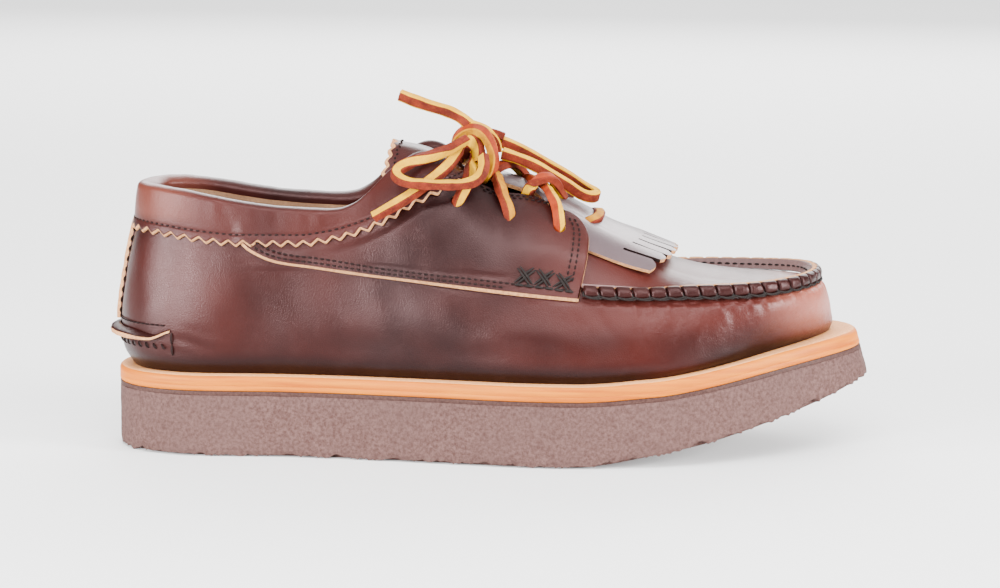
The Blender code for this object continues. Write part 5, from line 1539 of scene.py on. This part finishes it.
def make_kiltie():
    """Fringed flap over the instep: strips with cut corners that lift a little at their tips."""
    pitch = 2 * KILTIE_HALF_WIDTH / KILTIE_STRIPS
    lift = np.random.default_rng(8).uniform(0.0, 0.35, KILTIE_STRIPS)
    low = -KILTIE_HALF_WIDTH + np.arange(KILTIE_STRIPS) * pitch + SLIT_WIDTH / 2
    high = low + pitch - SLIT_WIDTH
    across = np.linspace(low, high, STRIP_COLUMNS, axis=1)
    end = KILTIE_TIP - KILTIE_TIP_CURVE * ((low + high) / 2 / KILTIE_HALF_WIDTH) ** 2
    corner = np.minimum(across - low[:, None], high[:, None] - across)
    tip = end[:, None] - np.maximum(0, pitch * 0.3 - corner)
    root = np.repeat(tip.max(axis=1) - SLIT_LENGTH, STRIP_COLUMNS)
    smooth_root = np.convolve(np.pad(root, 4, "edge"), np.ones(9) / 9, "valid")
    y, tip, raised_by = across.ravel(), tip.ravel(), np.repeat(lift, STRIP_COLUMNS)
    fringe = 1 + np.linspace(0, 1, FRINGE_LINES + 1)[1:]
    t = np.concatenate([np.linspace(0, 1, KILTIE_LINES), fringe])[:, None]
    x = np.where(t <= 1, KILTIE_BACK + (smooth_root - KILTIE_BACK) * t,
                 smooth_root + (tip - smooth_root) * (t - 1))
    narrow = KILTIE_NECK / KILTIE_HALF_WIDTH
    width = narrow + (1.05 - narrow) * smooth_step(17.0, 30.0, x)
    u, w = over_plan(x, y * width + KILTIE_MIDDLE)
    rise = GAP + 1.8 * smooth_step(46.0, 70.0, x) + raised_by * smooth_step(1.1, 2.0, t)
    rise = rise + 1.5 * smooth_step(42.0, 60.0, x) * (1 - (y / KILTIE_HALF_WIDTH) ** 2)
    rise = rise - throat_sink(x, w)
    rise = rise + 0.08 * ripple(form(u, w), 75, 20)
    outer, under = raised(u, w, rise + KILTIE_THICKNESS), raised(u, w, rise)
    mask = np.ones((len(t) - 1, len(y) - 1), bool)
    mask[KILTIE_LINES - 1:, STRIP_COLUMNS - 1::STRIP_COLUMNS] = False
    shape = Shape()
    # The slits' walls take the dark thread colour: painted shade in the narrow slits.
    shape.cutout(outer, under, mask, (0, 1, 2, 3))
    kiltie = shape.piece("kiltie_fine", "brown leather", KILTIE_PAINTED_SHEEN, FLESH, EDGE, THREAD)
    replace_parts(kiltie, "kiltie")


# ---------------------------------------------------------------- the heel
FLANGE_HEIGHT, FLANGE_END = 47.6, 1.75
FLANGE_SLIMS = 0.9           # u from where the lip grows thinner and shorter
# The lip's section: part of its thickness, share of its reach, drop and mark.
FLANGE_SECTION = ((0.0, 0.0, 0.0, 1), (0.0, 0.6, 0.3, 1), (0.0, 0.95, 0.35, 1), (0.35, 1.0, -0.1, 1),
                  (0.75, 0.97, 0.9, 0), (0.95, 0.7, 0.9, 0), (1.0, 0.4, 0.5, 0), (1.0, 0.1, 0.1, 0))
# The ridge's section: place across it, distance from the heel and mark.
RIDGE_SECTION = ((1.9, -0.2, 0), (1.75, 0.8, 1), (1.35, 2.1, 1), (0.75, 2.35, 1), (0.1, 2.15, 1),
                 (-0.1, 2.15, 1), (-0.75, 2.35, 1), (-1.35, 2.1, 1), (-1.75, 0.8, 0), (-1.9, -0.2, 0))
RIDGE_TOP = 92.5


def make_heel_flange():
    """Lip of the heel patch, turned up at its ends, with the stitches round it."""
    u = around_heel(lambda v: form(v, 0.4), FLANGE_END, 0.8)
    row = row_of(u)
    thinner = smooth_step(FLANGE_SLIMS, FLANGE_END, row)
    turn_up = 3.6 * smooth_step(1.42, FLANGE_END + 0.06, row)
    w = mark_at_height(u, FLANGE_HEIGHT + turn_up)
    out = -inward(u)[1]
    reach = 4.6 - 3.6 * thinner ** 2 + 0.15 * ripple(form(u, w), 81, 7)
    low, high = raised(u, w - 0.012, GAP * 0.5), raised(u, w + 0.062, GAP * 0.5)
    slim = 1 - 0.65 * thinner[:, None]
    rows = [low + (high - low) * part * slim + out * (reach * far)[:, None] - UP * drop
            for part, far, drop, _ in FLANGE_SECTION]
    shape = Shape()
    shape.loft(rows, [mark for *_, mark in FLANGE_SECTION], 1)
    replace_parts(shape.piece("heel_flange_fine", "seam leather", SEAM_LEATHER, EDGE, sharp=50), "heel_flange")
    threads = Shape()
    above = mark_at_height(u, FLANGE_HEIGHT + 5.2)
    stitch_row(threads, raised(u, above, GAP + 0.1), normal(u, above), FLANGE_STITCH)
    below = mark_at_height(u, FLANGE_HEIGHT - 2.4)
    points, outs = raised(u, below, 0.4), normal(u, below)
    for k in range(4, len(u) - 5, 5):
        bead(threads, points[k], points[k + 2] - UP * 2.2, outs[k], 0.8, 0.6)
    for end in (TURN - FLANGE_END - 0.03, FLANGE_END + 0.03):
        u_end = np.full(8, end)
        line = mark_at_height(u_end, np.linspace(40.5, 50.5, 8))
        stitch_row(threads, raised(u_end, line, 0.4), normal(u_end, line), FLANGE_END_STITCH)
    threads.piece("heel_stitches", "seam leather", THREAD, clean=False)


def make_back_seam():
    """The two heel edges sewn together, standing as a raw ridge up the back."""
    z = np.arange(FLANGE_HEIGHT + 3.5, RIDGE_TOP, 0.7)
    u = np.zeros(len(z))
    w = mark_at_height(u, z)
    seat, out = raised(u, w, GAP * 0.5), normal(u, w)
    across = np.array([0.0, 1.0, 0.0])
    wave = 0.12 * ripple(seat, 91, 6)
    rows = [seat + across * (side + wave)[:, None] + out * (far + wave * (far > 1))[:, None]
            for side, far, _ in RIDGE_SECTION]
    shape = Shape()
    shape.loft(rows, [mark for *_, mark in RIDGE_SECTION], 1)
    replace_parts(shape.piece("back_seam_fine", "seam leather", SEAM_LEATHER, EDGE, sharp=50), "back_seam")
    threads = Shape()
    for k in range(3, len(z) - 6, 6):
        for side in (-1, 1):
            start, end = (seat[j] + across * side * 2.0 + out[j] * 0.5 for j in (k, k + 4))
            bead(threads, start, end, unit(out[k] + across * side), 0.9, 0.6)
    threads.piece("back_stitches", "seam leather", THREAD, clean=False)


# ---------------------------------------------------------------- knot and laid lace
def laid(x, z, lift, inner=False):
    """Point at x, z on the side, lift over the quarter's face."""
    u, w = locate(x, z, inner)
    return tuple(raised(u, w, quarter_offset(u, w) + OVERLAY + lift))


Turn = namedtuple("Turn", "route pale marks width")
KNOT = (
    # the wrap over the knot's front, and the turn that runs away under it
    Turn([(-15.8, 8.0, 118.5), (-15.6, 6.0, 122.5), (-13.6, 2.5, 127.0), (-9.6, -1.0, 129.6),
          (-4.8, -4.5, 129.3), (-1.0, -8.5, 125.6), (0.9, -12.0, 120.3), (0.8, -14.4, 115.6),
          (-1.4, -14.0, 112.2), (-5.0, -11.0, 111.2)],
         [(1, 0.2, -0.3), (1, 0.1, -0.4), (-0.2, 0.3, -1), (-1, 0.3, -0.3), (-1, 0.4, 0)], (3, 1, 3), 5.0),
    Turn([(-7.0, -11.0, 112.4), (-2.0, -11.0, 112.6), (2.2, -7.0, 114.6), (6.3, -1.0, 115.6),
          (10.0, 5.5, 113.4), (13.0, 11.5, 108.6), (14.6, 16.0, 104.4)],
         [(0.2, 0.6, -0.6), (0, 0, -1), (0, 0, -1)], (0, 1, 2), LACE_WIDTH),
    # its heart and its back
    Turn([(-12.0, 6.5, 119.0), (-10.6, 2.0, 123.0), (-8.0, -4.0, 125.0), (-5.6, -8.5, 122.6),
          (-5.0, -11.0, 117.6)], [(0, -0.7, 0.7), (-0.5, -0.8, 0.3), (-0.8, -0.6, 0)], (0, 1, 2), 5.8),
    Turn([(4.0, 6.5, 126.0), (-1.0, 5.5, 127.4), (-6.0, 4.6, 125.8), (-10.5, 5.0, 121.5),
          (-12.4, 8.0, 117.0)], [(0, 0, 1), (-0.3, 0.5, 0.8), (-0.8, 0.5, 0.2)], (1, 0, 2), 5.8),
    # the way in of the inner end
    Turn([(-9.4, 1.0, 131.2), (-5.5, 1.8, 129.8), (-2.0, 3.0, 127.6), (0.8, 4.5, 124.2), (1.6, 5.5, 120.0)],
         [(0.1, -1, -0.35), (0.1, -1, -0.3), (0.1, -1, -0.2)], (2, 1, 0), LACE_WIDTH))


def make_knot():
    """The turns of the knot, as one piece."""
    shape = Shape()
    for number, turn in enumerate(KNOT):
        lace_strip(shape, turn.route, turn.pale, turn.marks, 51 + 2 * number, turn.width)
    knot = shape.piece("lace_knot_turns", "rawhide", *LACE_LOOKS)
    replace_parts(knot, "lace_knot")


# The lace between the eyelets. The first strand comes out from under both quarters.
LAID_LACE = (
    Lace("lace_strand_front",
         [laid(28.0, 90.4, -5.0), laid(27.6, 91.6, -1.5), (27.8, -28.0, 98.2), (26.6, -24.4, 102.4),
          (24.6, -20.0, 105.6), (22.2, -14.6, 108.0), (19.6, -9.0, 109.0), (16.8, -2.0, 109.4),
          (14.0, 6.0, 108.8), (11.5, 14.0, 107.4), laid(8.2, 102.5, 2.0, True), laid(7.6, 98.5, 1.8, True),
          laid(7.4, 95.6, -1.5, True), laid(7.4, 94.0, -5.0, True)],
         [(0.8, -0.6, 0.2), (0.8, -0.6, 0.2), (0.7, -0.7, 0.3), (0.5, -0.4, 0.9), (0, 0, 1), (0, 0.6, 0.8),
          (0.3, 0.9, 0.3)], (0, 1, 1)),
    Lace("lace_strand_hump",
         [laid(12.8, 98.5, -4.5), (14.0, -14.0, 102.6), (15.4, -16.8, 106.8), (17.8, -18.2, 110.2),
          (20.6, -18.4, 112.0), (23.4, -17.0, 112.2), (25.8, -13.6, 110.0), (27.2, -9.6, 106.0),
          (28.2, -3.0, 102.4), (29.2, 5.0, 101.6), laid(30.2, 97.5, 2.0, True), laid(28.2, 94.0, 1.8, True),
          laid(27.8, 90.4, -1.5, True), laid(28.0, 89.0, -5.0, True)],
         [(-0.6, 0, -0.8), (-0.6, 0.2, -0.8), (0, 0, -1), (0, -0.2, -1), (0, -0.8, -0.5)], (0, 1, 2)),
    Lace("lace_strand_middle",
         [laid(8.4, 94.2, -5.0), laid(8.2, 95.4, -1.5), (7.8, -27.9, 100.6), (5.8, -24.4, 105.0),
          (4.2, -20.0, 108.4), (3.0, -15.6, 111.0), (1.6, -11.4, 112.4), (-2.0, -7.0, 112.8)],
         [(0.7, -0.7, 0.1), (0.7, -0.7, 0.2), (0.6, -0.7, 0.4), (0.3, -0.6, 0.8)], (3, 1, 2)),
    Lace("lace_strand_rear",
         [laid(-13.4, 100.8, -5.0), laid(-13.2, 102.2, -1.5), laid(-12.2, 105.0, 1.6),
          laid(-10.6, 109.4, 2.0), (-8.0, -13.5, 115.4), (-7.0, -8.0, 117.0), (-7.0, 0.0, 118.2),
          (-8.0, 9.0, 117.2), laid(-10.4, 111.0, 2.2, True), laid(-12.4, 106.0, 1.8, True),
          laid(-13.2, 102.2, -1.5, True), laid(-13.4, 100.8, -5.0, True)],
         [(0.8, -0.6, 0.2), (0.7, -0.7, 0.2), (0.4, -0.6, 0.7), (0, 0, 1), (0, 0.5, 0.8), (0, 1, 0.2)],
         (0, 1, 2)),
    Lace("lace_strand_first",
         [(30.0, -19.0, 89.5), (34.0, -18.9, 91.2), (37.4, -17.5, 93.0), (40.6, -14.9, 94.2),
          (42.8, -10.6, 95.0), (43.4, -4.0, 95.2), (43.0, 6.0, 95.2), (41.0, 14.0, 94.2), (37.0, 19.5, 92.4),
          (33.0, 21.0, 90.0)],
         [(0.2, -0.5, 0.9), (0.2, -0.5, 0.9), (0.3, -0.3, 0.9), (0, 0.2, 1), (-0.2, 0.6, 0.8)], (3, 1, 2)))
# The solids that each strand stands for; the hump belongs to none.
LAID_NODES = {"lace_strand_front": ["lace_cross_1"], "lace_strand_middle": ["lace_cross_2"],
              "lace_strand_rear": ["lace_bar_back"], "lace_strand_first": ["lace_bar_front"]}


def make_laid_lace():
    """The strands between the quarters, one piece each."""
    for number, lace in enumerate(LAID_LACE):
        shape = Shape()
        lace_strip(shape, lace.route, lace.pale, lace.marks, 80 + 10 * number)
        item = shape.piece(lace.name, "rawhide", *LACE_LOOKS)
        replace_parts(item, *LAID_NODES.get(lace.name, []))


make_outsole()
make_layers()
make_insole()
make_upper()
make_apron_seam()
make_quarter(False)
make_quarter(True)
make_collar()
make_tongue()
make_kiltie()
make_heel_flange()
make_back_seam()
make_knot()
make_laid_lace()
